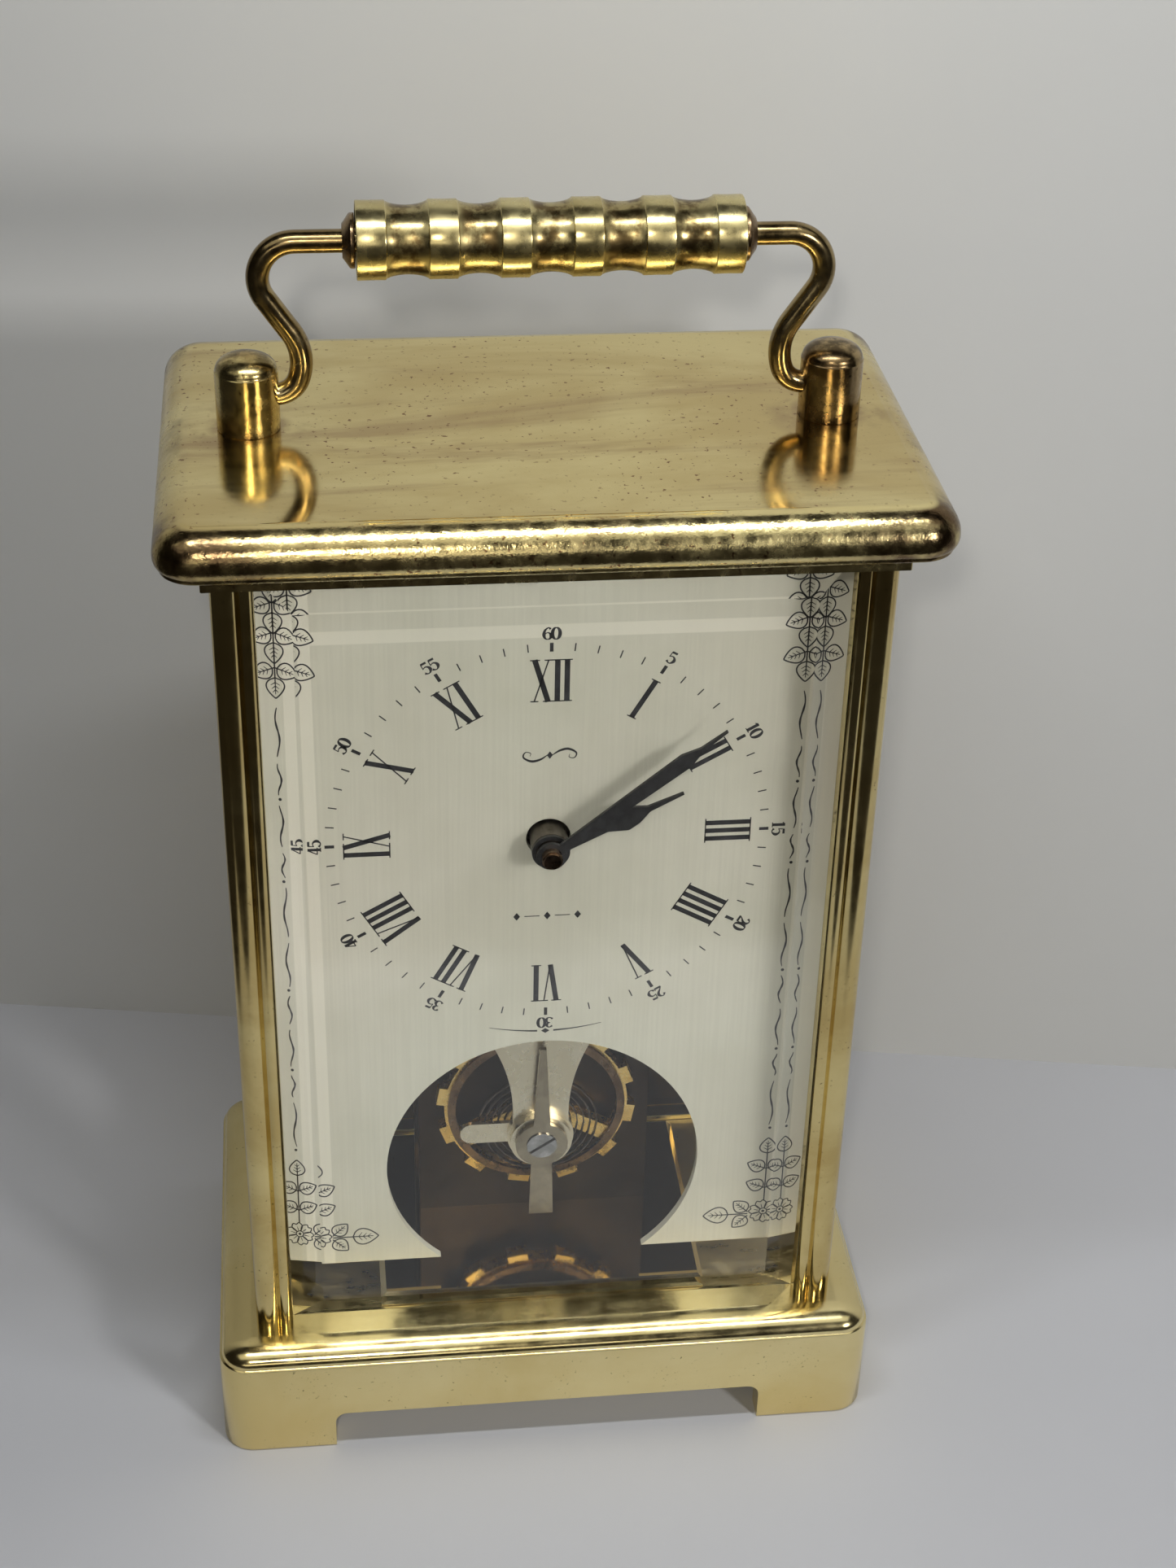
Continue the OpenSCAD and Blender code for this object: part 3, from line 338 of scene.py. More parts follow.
def cornice_metal():
    """Mirror top with brown specks and tarnish bands; pitted, worn moulding with brown corners."""
    s = Shade("cornice_brass", Metallic=1.0)
    x, y, z = s.axes()
    top = s.fit(z, (TOP_Z - 0.25) * MM, (TOP_Z - 0.05) * MM)
    edge = s.op("SUBTRACT", 1.0, top)
    tone = s.fit(s.noise(34, 5, 0.6, stretch=(0.55, 1.6, 1), warp=0.5), 0.36, 0.64)
    colour = s.mix(tone, rgb(0.68, 0.53, 0.23), rgb(0.86, 0.73, 0.36))
    # long clouds of brown tarnish across the top
    band = s.fit(s.noise(26, 6, 0.66, stretch=(0.3, 2.2, 1), warp=0.8), 0.53, 0.66, 0.0, 0.55)
    colour = s.mix(s.op("MULTIPLY", band, top), colour, rgb(0.40, 0.25, 0.12))
    # stained rings round the turrets
    for side in (-1, 1):
        gap = s.away(side * TURRET_X, 0, None)
        near = s.fit(gap, 3.4 * MM, 5.2 * MM, 0.75, 0.0)
        ring = s.op("MULTIPLY", near, s.fit(s.noise(300, 4, 0.6), 0.3, 0.6))
        wider = s.fit(gap, 9 * MM, 5 * MM)
        halo = s.op("MULTIPLY", wider, s.fit(s.noise(140, 4, 0.6), 0.42, 0.6, 0.0, 0.5))
        colour = s.mix(s.op("MULTIPLY", s.op("MAXIMUM", ring, halo), top), colour, rgb(0.34, 0.22, 0.11))
    # small round specks, thicker in patches
    spot = s.fit(s.noise(1500, 2, 0.5), 0.645, 0.69)
    where = s.fit(s.noise(90, 4, 0.6), 0.36, 0.60, 0.25, 1.0)
    colour = s.mix(s.op("MULTIPLY", spot, where), colour, rgb(0.26, 0.14, 0.06))
    # brown patina on the corners and in patches along the moulding
    far_x = s.op("DIVIDE", s.op("ABSOLUTE", x), HALF_X * MM)
    far_y = s.op("DIVIDE", s.op("ABSOLUTE", y), HALF_Y * MM)
    corner = s.fit(s.op("ADD", far_x, far_y), 1.60, 1.82)
    patch = s.fit(s.noise(75, 5, 0.65), 0.5, 0.68, 0.0, 0.5)
    worn = s.op("MAXIMUM", s.op("MULTIPLY", corner, s.fit(s.noise(260, 4, 0.6), 0.25, 0.6)), patch)
    colour = s.mix(s.op("MULTIPLY", worn, edge), colour, rgb(0.17, 0.11, 0.055))
    s.set("Base Color", colour)
    rough_top = s.fit(s.noise(60, 5, 0.65, stretch=(0.4, 1.5, 1)), 0.35, 0.7, 0.07, 0.19)
    rough_edge = s.fit(s.noise(500, 4, 0.6), 0.3, 0.7, 0.14, 0.30)
    s.set("Roughness", s.op("ADD", s.op("MULTIPLY", rough_top, top), s.op("MULTIPLY", rough_edge, edge)))
    height = s.op("MULTIPLY", s.noise(2200, 3, 0.6), edge)
    under = s.bump(height, 0.035, 1.0)
    s.bump(s.noise(60, 3, 0.5), 0.02, 0.35, under)
    return s


def grip_metal():
    """Turned brass, brown where the grip is hollowed."""
    s = Shade("grip_brass", Metallic=1.0)
    gap = s.away(None, 0, GRIP_Z)
    hollow = s.fit(gap, (GRIP_R - 0.42) * MM, (GRIP_R - 0.06) * MM, 1.0, 0.0)
    blotch = s.fit(s.noise(420, 5, 0.65), 0.38, 0.62)
    brown = s.op("MULTIPLY", hollow, s.fit(blotch, 0.0, 1.0, 0.35, 1.0))
    colour = s.mix(s.fit(s.noise(90, 5, 0.6), 0.35, 0.65), rgb(0.54, 0.44, 0.20), rgb(0.74, 0.64, 0.33))
    colour = s.mix(brown, colour, rgb(0.16, 0.11, 0.045))
    scar = s.fit(s.noise(330, 6, 0.7, warp=1.5), 0.66, 0.70)
    colour = s.mix(scar, colour, rgb(0.16, 0.10, 0.04))
    s.set("Base Color", colour)
    rings = s.noise(2400, 3, 0.6, stretch=(1, 0.04, 0.04))
    s.set("Roughness", s.fit(s.noise(380, 4, 0.6), 0.3, 0.7, 0.20, 0.34))
    under = s.bump(rings, 0.006, 0.6)
    s.bump(s.noise(800, 3, 0.6), 0.005, 0.5, under)
    return s


def turret_metal(name, pale, deep):
    """Turned post with a stained foot and shoulder."""
    s = Shade(name, Metallic=1.0)
    z = s.axes()[2]
    colour = s.mix(s.fit(s.noise(160, 5, 0.65, warp=0.4), 0.36, 0.62), rgb(*deep), rgb(*pale))
    foot = s.fit(z, (TOP_Z + 0.2) * MM, (TOP_Z + 1.1) * MM, 0.9, 0.0)
    shoulder = s.fit(z, (TOP_Z + 6.2) * MM, (TOP_Z + 7.4) * MM, 0.0, 0.8)
    stain = s.op("MULTIPLY", s.op("MAXIMUM", foot, shoulder), s.fit(s.noise(520, 5, 0.65), 0.36, 0.6))
    colour = s.mix(stain, colour, toned(deep, 0.22))
    spot = s.fit(s.noise(1700, 2, 0.5), 0.66, 0.72)
    colour = s.mix(spot, colour, toned(deep, 0.3))
    s.set("Base Color", colour)
    s.set("Roughness", s.fit(s.noise(420, 4, 0.6), 0.3, 0.7, 0.14, 0.30))
    under = s.bump(s.noise(2600, 3, 0.6, stretch=(0.05, 0.05, 1)), 0.006, 0.6)
    s.bump(s.noise(700, 3, 0.6), 0.012, 0.5, under)
    return s


# painted highlight: where the bright lines of the glass edges are painted on the dial, in millimetres
LEFT_GLASS_GLINT, UPPER_GLASS_GLINT, RIGHT_GLASS_GLINT = (-27.9, -26.35), (110.3, 112.1), (29.2, 40.0)
GLASS_GLINT_SOFT = 0.15


def dial_metal():
    """Satin silver-cream plate with fine vertical brushing, and painted highlights for the bright lines that
    the glass throws.
    """
    s = Shade("dial_silver", Metallic=0.25)
    hair = s.noise(2600, 4, 0.65, stretch=(1, 1, 0.012))
    cloud = s.fit(s.noise(40, 4, 0.6), 0.35, 0.65)
    colour = s.mix(cloud, rgb(0.57, 0.555, 0.455), rgb(0.63, 0.615, 0.515))
    colour = s.mix(s.fit(hair, 0.35, 0.65, 0.0, 0.25), colour, rgb(0.50, 0.49, 0.41))
    stain = s.fit(s.noise(330, 5, 0.7), 0.70, 0.76, 0.0, 0.35)
    colour = s.mix(stain, colour, rgb(0.42, 0.39, 0.31))
    # painted highlight: the bright lines that the edges of the glass throw on the dial are painted into the
    # colour, with soft edges
    x, y, z = s.axes()
    band = 0.0
    for axis, (lo, hi) in ((x, LEFT_GLASS_GLINT), (x, RIGHT_GLASS_GLINT), (z, UPPER_GLASS_GLINT)):
        rise = s.fit(axis, lo * MM, (lo + GLASS_GLINT_SOFT) * MM)
        fall = s.fit(axis, hi * MM, (hi - GLASS_GLINT_SOFT) * MM)
        band = s.op("MAXIMUM", band, s.op("MULTIPLY", rise, fall))
    colour = s.mix(s.op("MULTIPLY", band, 0.55), colour, rgb(0.80, 0.77, 0.66))
    s.set("Base Color", colour)
    s.set("Roughness", s.fit(hair, 0.3, 0.7, 0.36, 0.50))
    s.bump(hair, 0.004, 0.4)
    return s


def dim_metal(name, rough):
    """Movement brass painted a near-black brown, as painted shade for the shade inside the case."""
    return metal(name, (0.048, 0.034, 0.024), (0.026, 0.018, 0.013), rough, cloud=90, along=(0.02, 1, 1))


def door_brass(name):
    """Brushed brass of the door and its fittings."""
    return metal(name, (0.82, 0.68, 0.33), (0.70, 0.54, 0.23), 0.20, along=(1, 1, 0.04))


def door_metal():
    """Brushed brass outside; the inner face painted near-black as painted shade."""
    s = door_brass("door_panel_brass")
    inside = s.fit(s.axes()[1], (DOOR_Y - 0.2) * MM, DOOR_Y * MM, 1.0, 0.0)
    outer = s.bsdf.inputs["Base Color"].links[0].from_socket
    # painted shade: the door's inner face is coloured near-black
    s.set("Base Color", s.mix(inside, outer, rgb(0.030, 0.022, 0.015)))
    return s


def glass(name, tint):
    """Clear glass that lets light through to what it covers."""
    s = Shade(name, Transmission_Weight=1.0, IOR=1.5)
    s.set("Base Color", s.mix(s.fit(s.noise(25, 2, 0.5), 0.3, 0.7), rgb(*tint), rgb(1, 1, 1)))
    s.set("Roughness", s.fit(s.noise(200, 4, 0.6), 0.55, 0.8, 0.0, 0.03))
    clear = s.add("ShaderNodeBsdfTransparent")
    ray = s.add("ShaderNodeLightPath").outputs["Is Shadow Ray"]
    s.either(ray, s.bsdf, clear)
    return s


def ink(name, tone, rough):
    s = Shade(name)
    grain = s.fit(s.noise(900, 4, 0.6), 0.35, 0.65)
    s.set("Base Color", s.mix(grain, rgb(*tone), toned(tone, 1.9)))
    s.set("Roughness", s.fit(s.noise(1500, 3, 0.6), 0.3, 0.7, rough * 0.8, rough * 1.2))
    s.bump(s.noise(2500, 2, 0.5), 0.003, 0.4)
    return s


SHADES = {
    "case_brass": case_shade,
    "cornice_brass": cornice_metal(),
    "door_brass": door_brass("door_brass"),
    "turret_brass": turret_metal("turret_brass", (0.78, 0.63, 0.28), (0.50, 0.36, 0.14)),
    "turret_bronze": turret_metal("turret_bronze", (0.46, 0.34, 0.17), (0.24, 0.16, 0.075)),
    "bevelled_glass": glass("bevelled_glass", (0.965, 0.985, 0.975)),
    "side_glass": glass("side_glass", (0.96, 0.98, 0.97)),
    "screw_steel": metal("screw_steel", (0.62, 0.61, 0.58), (0.42, 0.41, 0.39), 0.22, cloud=300),
    "bail_bronze": metal("bail_bronze", (0.44, 0.34, 0.17), (0.23, 0.16, 0.07), 0.20, cloud=110, specks=0.8,
                         pits=0.008),
    "ferrule_bronze": metal("ferrule_bronze", (0.40, 0.29, 0.16), (0.17, 0.11, 0.06), 0.26, cloud=170),
    "grip_brass": grip_metal(),
    "dial_silver": dial_metal(),
    "hand_black": ink("hand_black", (0.012, 0.012, 0.013), 0.42),
    "nut_bronze": metal("nut_bronze", (0.34, 0.25, 0.17), (0.16, 0.11, 0.075), 0.3, cloud=400),
    "plate_brass": metal("plate_brass", (0.60, 0.45, 0.22), (0.38, 0.26, 0.12), 0.22, cloud=50,
                         along=(0.05, 1, 1)),
    "wheel_brass": metal("wheel_brass", (0.86, 0.66, 0.28), (0.68, 0.48, 0.18), 0.22, cloud=120),
    "hour_pipe": metal("hour_pipe", (0.16, 0.14, 0.12), (0.07, 0.06, 0.05), 0.35, cloud=300),
    "arbor_steel": metal("arbor_steel", (0.62, 0.61, 0.60), (0.40, 0.39, 0.38), 0.18, cloud=300),
    "spring_steel": metal("spring_steel", (0.26, 0.25, 0.27), (0.12, 0.11, 0.12), 0.24, cloud=200),
    "balance_gilt": metal("balance_gilt", (1.0, 0.74, 0.30), (0.86, 0.57, 0.19), 0.26, cloud=220,
                          marks_h=0.001),
    "balance_bronze": metal("balance_bronze", (0.26, 0.17, 0.10), (0.12, 0.075, 0.045), 0.28, cloud=250),
    "cock_nickel": metal("cock_nickel", (0.88, 0.80, 0.62), (0.78, 0.69, 0.50), 0.26, cloud=60,
                         marks_h=0.0006, along=(0.12, 0.12, 0.12)),
    "index_steel": metal("index_steel", (0.48, 0.41, 0.29), (0.30, 0.25, 0.17), 0.19, cloud=120,
                         marks_h=0.0005, along=(0.12, 0.12, 0.12)),
}
# pieces whose look differs from the rest of their slot; the movement plates, their pillars and the door's inner
# face carry painted shade
SPECIAL = {
    "front_plate": dim_metal("front_plate_painted_shade", 0.40),
    "back_plate": dim_metal("back_plate_painted_shade", 0.40),
    "plate_pillars": dim_metal("pillar_painted_shade", 0.40),
    "door_panel": door_metal(),
    "movement_seat": metal("seat_brass", (0.84, 0.70, 0.40), (0.70, 0.56, 0.30), 0.055, cloud=40,
                           along=(0.1, 1, 1)),
    "case_floor": metal("floor_brass", (0.88, 0.74, 0.42), (0.72, 0.58, 0.30), 0.34, cloud=40,
                        along=(0.1, 1, 1)),
    "hairspring": metal("hairspring_steel", (0.17, 0.13, 0.10), (0.08, 0.06, 0.045), 0.2, cloud=200),
}
for part in frame["record"]["subparts"]:
    finish = SPECIAL.get(part["node"], SHADES[part["material_slot"]])
    for holder in frame["nodes"][part["node"]].material_slots:
        holder.material = finish.material


# ---- base ----

ARCH_H, ARCH_R = 5.7, 1.5
FRONT_ARCH_HALF, SIDE_ARCH_HALF = 27.2, HALF_Y - 14
FRONT_REACH, SIDE_REACH = 40, 60


def arch(half_w, through):
    """A cutter that opens the base between its feet, from one side of the case to the other."""
    cx, cz = half_w - ARCH_R, ARCH_H - ARCH_R
    outline = [(-half_w, -2), (half_w, -2)]
    outline += arc(cx, cz, ARCH_R, 0, 90, 6) + arc(-cx, cz, ARCH_R, 90, 180, 6)
    return skin([[(x, s * through, z) for x, z in outline] for s in (-1, 1)])


HOLLOW_IN, HOLLOW_TOP = 3.8, 10.5
FASCIA_IN, FASCIA_TOP = 0.6, BASE_TOP - 2.2
WELL_IN, WELL_FLOOR = 10.2, 14.0
OVOLO_IN, OVOLO_W, OVOLO_H = 4.45, 3.57, 2.12
base_outline = [(HOLLOW_IN, HOLLOW_TOP), (HOLLOW_IN, 0.12), (HOLLOW_IN - 0.12, 0.0)]
base_outline += [(0.95, 0.0), (0.72, 0.1), (FASCIA_IN, 0.35)]
base_outline += [(FASCIA_IN, FASCIA_TOP - 0.3), (FASCIA_IN + 0.07, FASCIA_TOP - 0.1), (0.8, FASCIA_TOP)]
base_outline += arc(OVOLO_IN, FASCIA_TOP + 0.04, OVOLO_W, 180, 96, 20, rz=OVOLO_H)
base_outline += [(4.5, BASE_TOP), (4.75, BASE_TOP)]
base_outline += [(WELL_IN - 0.1, BASE_TOP), (WELL_IN, BASE_TOP - 0.1), (WELL_IN, WELL_FLOOR)]
base = solid("base_moulding", *moulded(base_outline), case_shade)
front_arch = solid("front_arch", *arch(FRONT_ARCH_HALF, FRONT_REACH), case_shade)
side_arch = solid("side_arch", *arch(SIDE_ARCH_HALF, SIDE_REACH), case_shade)
side_arch.data.transform(Matrix.Rotation(math.pi / 2, 4, "Z"))
carve(base, [front_arch, side_arch])
place(base, "case", "case_brass", "base_plinth")

# ---- cornice ----

NECK_IN = 4.6
LIP_Z = TOP_Z - 5.4
ROOF_IN, ROOF_Z = 12.5, LIP_Z + 2.4
STUD_HOLE_R, STUD_HOLE_TOP = 1.8, TOP_Z - 3.5
SHARP_CORNICE = 24
cornice_outline = [(ROOF_IN, ROOF_Z), (ROOF_IN, NECK_Z), (NECK_IN, NECK_Z), (NECK_IN, LIP_Z - 0.02)]
cornice_outline += [(1.0, LIP_Z), (0.78, LIP_Z + 0.03), (0.62, LIP_Z + 0.16), (0.58, LIP_Z + 0.34)]
cornice_outline += [(0.58, LIP_Z + 0.5), (0.40, LIP_Z + 0.62)]
cornice_outline += arc(1.5, LIP_Z + 1.7, 1.5, 222, 180, 6)
cornice_outline += arc(3.7, TOP_Z - 3.62, 3.7, 178, 97, 18, rz=3.6)
cornice_outline += [(3.30, TOP_Z - 0.03), (3.42, TOP_Z), (3.65, TOP_Z), (8, TOP_Z)]
cornice = solid("cornice_moulding", *moulded(cornice_outline), SHADES["cornice_brass"], SHARP_CORNICE)
wells = []
for side in (-1, 1):
    well_outline = [(STUD_HOLE_R, NECK_Z - 1), (STUD_HOLE_R, STUD_HOLE_TOP)]
    wells.append(solid("well", *lathe(well_outline, (side * TURRET_X, 0, 0), "Z", 24), case_shade))
carve(cornice, wells, SHARP_CORNICE)
place(cornice, "case", "cornice_brass", "cornice")


# ---- corner posts ----

def crossing(c0, r0, c1, r1, side):
    """Where two circles meet, as the point to the given side of the line from c0 to c1."""
    dx, dy = c1[0] - c0[0], c1[1] - c0[1]
    d = math.hypot(dx, dy)
    along = (r0 * r0 - r1 * r1 + d * d) / (2 * d)
    off = side * math.sqrt(r0 * r0 - along * along)
    return (c0[0] + (dx * along - dy * off) / d, c0[1] + (dy * along + dx * off) / d)


def toward(c, p):
    """The direction from c to p, in degrees."""
    return math.degrees(math.atan2(p[1] - c[1], p[0] - c[0]))


def post_outline():
    """Corner reed with a smaller reed on each inner side, in the rear right quarter."""
    big, small, small_in = 1.6, 0.9, 1.05
    corner = (POST_X1 - big, POST_Y1 - big)
    side = (POST_X1 - small_in, POST_Y0 + small)
    back = (POST_X0 + small, POST_Y1 - small_in)
    low = crossing(side, small, corner, big, -1)
    high = crossing(corner, big, back, small, -1)
    outline = [(POST_X0, POST_Y0)]
    outline += arc(*side, small, -90, toward(side, low), 10)
    outline += arc(*corner, big, toward(corner, low), toward(corner, high), 18)
    outline += arc(*back, small, toward(back, high), 180, 10)
    return outline


for sx, wide in ((-1, "left"), (1, "right")):
    for sy, deep in ((-1, "front"), (1, "rear")):
        outline = [(sx * x, sy * y) for x, y in post_outline()]
        post = solid(f"post_{deep}_{wide}", *prism(outline, BASE_TOP, NECK_Z), post_shade)
        place(post, "case", "case_brass", f"pillar_{deep}_{wide}")

# ---- turrets, bail and grip ----

DOME_Z = 6.6
DOME_H = 1.78
turret_outline = [(0, 0), (TURRET_R - 0.06, 0), (TURRET_R, 0.08), (TURRET_R, DOME_Z)]
turret_outline += [(TURRET_R - 0.07, DOME_Z + 0.1), (TURRET_R - 0.1, DOME_Z + 0.16)]
turret_outline += arc(0, DOME_Z + 0.2, TURRET_R - 0.12, 4, 90, 14, rz=DOME_H)
for side, label in ((-1, "left"), (1, "right")):
    slot = "turret_brass" if side < 0 else "turret_bronze"
    verts, faces = lathe(turret_outline, (side * TURRET_X, 0, TOP_Z), "Z")
    turret = solid(f"turret_{label}_post", verts, faces, SHADES[slot])
    place(turret, "case", slot, f"{label}_turret")

WIRE_R = 1.25
PIVOT_Z = TOP_Z + 3.8


def bail_path():
    """Centre line of the bail's right half: a tight bend by the turret, a wide bend, the shoulder."""
    tight, wide, shoulder, join = 2.6, 6.0, 4.0, 200.0
    end_in, shoulder_in = 1.5, 5.7
    exit_x = TURRET_X - TURRET_R + 0.3
    c0 = (exit_x, PIVOT_Z + tight)
    reach = math.radians(join)
    c1 = (c0[0] + (tight - wide) * math.cos(reach), c0[1] + (tight - wide) * math.sin(reach))
    c2 = (TURRET_X - shoulder_in, GRIP_Z - shoulder)
    span = math.hypot(c2[0] - c1[0], c2[1] - c1[1])
    turn = toward(c1, c2) + math.degrees(math.acos((wide + shoulder) / span))
    path = [(TURRET_X - end_in, PIVOT_Z)]
    path += arc(*c0, tight, 270, join, 12)
    path += arc(*c1, wide, join, turn, 22)[1:] if turn < join else []
    path += arc(*c2, shoulder, turn - 180, 90, 22)
    return path


half = bail_path()
path = half + [(-x, z) for x, z in reversed(half)]
bail = solid("bail_wire", *tube(path, WIRE_R), SHADES["bail_bronze"], sharp=50)
place(bail, "bail", "bail_bronze", "handle_bail")

BANDS = 6
GRIP_SIDES = 120
HOLE_R = WIRE_R + 0.06
SCOTIA_STEPS = 12
SCOTIA_DEPTH = 0.42
grip_len = grip_hi.x - grip_lo.x
BAND_W = grip_len * 0.076
SCOTIA_W = (grip_len - BANDS * BAND_W) / (BANDS - 1)
grip_outline = [(HOLE_R, 0.25), (GRIP_R - 0.55, 0.25), (GRIP_R - 0.3, 0.0), (GRIP_R - 0.1, 0.0)]
for i in range(BANDS):
    start = i * (BAND_W + SCOTIA_W)
    grip_outline += [(GRIP_R - 0.03, start + 0.04), (GRIP_R, start + 0.13)]
    grip_outline += [(GRIP_R - 0.02, start + BAND_W / 2)]
    grip_outline += [(GRIP_R, start + BAND_W - 0.13), (GRIP_R - 0.03, start + BAND_W - 0.04)]
    if i < BANDS - 1:
        mid = start + BAND_W + SCOTIA_W / 2
        for k in range(SCOTIA_STEPS + 1):
            t = -1 + 2 * k / SCOTIA_STEPS
            radius = GRIP_R - 0.14 - SCOTIA_DEPTH * (1 - t * t) ** 0.8
            grip_outline.append((radius, mid + t * (SCOTIA_W / 2 - 0.05)))
grip_outline += [(GRIP_R - 0.1, grip_len), (GRIP_R - 0.3, grip_len), (GRIP_R - 0.55, grip_len - 0.25)]
grip_outline += [(HOLE_R, grip_len - 0.25)]
verts, faces = lathe(grip_outline, (grip_lo.x, 0, GRIP_Z), "X", GRIP_SIDES)
# the two end caps give way to the wall of the wire's hole
last_ring = len(verts) - GRIP_SIDES
faces = faces[2:]
for i in range(GRIP_SIDES):
    j = (i + 1) % GRIP_SIDES
    faces.append((i, j, last_ring + j, last_ring + i))
grip = solid("grip_turned", verts, faces, SHADES["grip_brass"], sharp=24)
place(grip, "grip", "grip_brass", "handle_grip")

ferrule_lo, ferrule_hi = cad("handle_ferrules")
FERRULE_R = 2.9
verts, faces = [], []
for side, outer, inner in ((-1, ferrule_lo.x, grip_lo.x), (1, ferrule_hi.x, grip_hi.x)):
    depth = abs(inner - outer)
    collar = [(WIRE_R - 0.2, depth - 0.12), (FERRULE_R - 0.04, depth - 0.12), (FERRULE_R, depth - 0.2)]
    collar += [(FERRULE_R, depth - 0.55), (FERRULE_R - 0.1, depth - 0.7)]
    collar += [(2.0, 0.2), (1.8, 0.03), (WIRE_R - 0.2, 0.0)]
    more_verts, more_faces = lathe([(r, -side * h) for r, h in collar], (outer, 0, GRIP_Z), "X", 64)
    faces += [tuple(i + len(verts) for i in face) for face in more_faces]
    verts += more_verts
ferrules = solid("ferrule_collars", verts, faces, SHADES["ferrule_bronze"])
place(ferrules, "bail", "ferrule_bronze", "handle_ferrules")


# ---- dial print ----

class Print:
    """Flat ink shapes on the dial, each a thin closed prism. Points are (across, up) in millimetres."""
    FRONT, BACK = DIAL_Y - 0.02, DIAL_Y + 0.02

    def __init__(self):
        self.verts, self.faces = [], []
        self.upright()

    def upright(self, x=0.0, z=AXIS_Z, turn=0.0, flip=1):
        """Sets where local points go: turned by degrees about (x, z), mirrored if flip is -1."""
        c, s = math.cos(math.radians(turn)), math.sin(math.radians(turn))
        self.to = lambda u, v: (x + flip * u * c - v * s * flip, z + u * s + v * c)

    def radial(self, clock, radius):
        """Local up points away from the dial centre, at an angle clockwise from twelve."""
        a = math.radians(clock)
        c, s = math.cos(a), math.sin(a)
        self.to = lambda u, v: (u * c + (radius + v) * s, AXIS_Z - u * s + (radius + v) * c)

    def blob(self, points):
        """A filled shape inside the points."""
        n, base = len(points), len(self.verts)
        flat = [self.to(*p) for p in points]
        self.verts += [(x, self.FRONT, z) for x, z in flat] + [(x, self.BACK, z) for x, z in flat]
        self.faces += [tuple(range(base, base + n)), tuple(range(base + 2 * n - 1, base + n - 1, -1))]
        for i in range(n):
            j = (i + 1) % n
            self.faces.append((base + i, base + j, base + n + j, base + n + i))

    def dot(self, u, v):
        self.blob(arc(u, v, 0.2, 0, 330, 11))

    def stroke(self, points, widths):
        """A ribbon through the points, whose width follows the widths."""
        if isinstance(widths, (int, float)):
            widths = [widths] * len(points)
        left, right = [], []
        for k, (u, v) in enumerate(points):
            u0, v0 = points[max(k - 1, 0)]
            u1, v1 = points[min(k + 1, len(points) - 1)]
            span = math.hypot(u1 - u0, v1 - v0) or 1.0
            nu, nv = -(v1 - v0) / span * widths[k] / 2, (u1 - u0) / span * widths[k] / 2
            left.append((u + nu, v + nv))
            right.append((u - nu, v - nv))
        base, n = len(self.verts), len(points)
        for y in (self.FRONT, self.BACK):
            self.verts += [(self.to(*p)[0], y, self.to(*p)[1]) for p in left + right]
        front, back = base, base + 2 * n
        for k in range(n - 1):
            l0, l1, r0, r1 = k, k + 1, n + k, n + k + 1
            self.faces += [(front + l0, front + l1, front + r1, front + r0)]
            self.faces += [(back + l0, back + r0, back + r1, back + l1)]
            self.faces += [(front + l0, back + l0, back + l1, front + l1)]
            self.faces += [(front + r0, front + r1, back + r1, back + r0)]
        for k in (0, n - 1):
            self.faces += [(front + k, front + n + k, back + n + k, back + k)]

    def curve(self, points, widths, parts=5):
        """A smooth ribbon through a few control points."""
        if isinstance(widths, (int, float)):
            widths = [widths] * len(points)
        full = [(*p, w) for p, w in zip(points, widths)]
        full = [full[0]] + full + [full[-1]]
        out = []
        for a, b, c, d in zip(full, full[1:], full[2:], full[3:]):
            for i in range(parts):
                t = i / parts
                out.append([0.5 * (2 * q + (r - p) * t + (2 * p - 5 * q + 4 * r - s) * t * t
                                   + (3 * q - p - 3 * r + s) * t ** 3) for p, q, r, s in zip(a, b, c, d)])
        out.append(full[-1])
        self.stroke([(p[0], p[1]) for p in out], [max(p[2], 0.03) for p in out])


ink_plate = Print()
NUMERAL_H = 5.4
NUMERAL_R, MINUTES_R = 18.2, 26.1
TICK_IN, FIVE_IN, TICK_OUT = 24.7, 24.6, 25.7
ROSETTE_Z = dial_lo.z + 4.6
THICK, THIN, SERIF = 0.62, 0.16, 0.14


def roman(text):
    """Draws a numeral centred on the local origin, in thick and thin strokes with thin serifs."""
    half_w = {"I": 0.54, "V": 1.2, "X": 1.25}
    at = -sum(half_w[c] for c in text)
    for c in text:
        at += half_w[c]
        h = NUMERAL_H
        serifs = []
        if c == "I":
            ink_plate.stroke([(at, 0), (at, h)], THICK)
            serifs = [(at, 0, 1.16), (at, h, 1.16)]
        if c == "V":
            ink_plate.stroke([(at - 0.72, h), (at + 0.06, 0)], THICK)
            ink_plate.stroke([(at + 0.78, h), (at + 0.1, 0)], THIN)
            serifs = [(at - 0.72, h, 1.2), (at + 0.72, h, 0.9)]
        if c == "X":
            ink_plate.stroke([(at - 0.78, h), (at + 0.78, 0)], THICK)
            ink_plate.stroke([(at + 0.80, h), (at - 0.80, 0)], THIN)
            serifs = [(at - 0.74, h, 1.1), (at + 0.76, h, 0.9), (at - 0.76, 0, 0.9), (at + 0.74, 0, 1.1)]
        for x, v, w in serifs:
            v = abs(v - SERIF / 2)
            ink_plate.stroke([(x - w / 2, v), (x + w / 2, v)], SERIF)
        at += half_w[c]


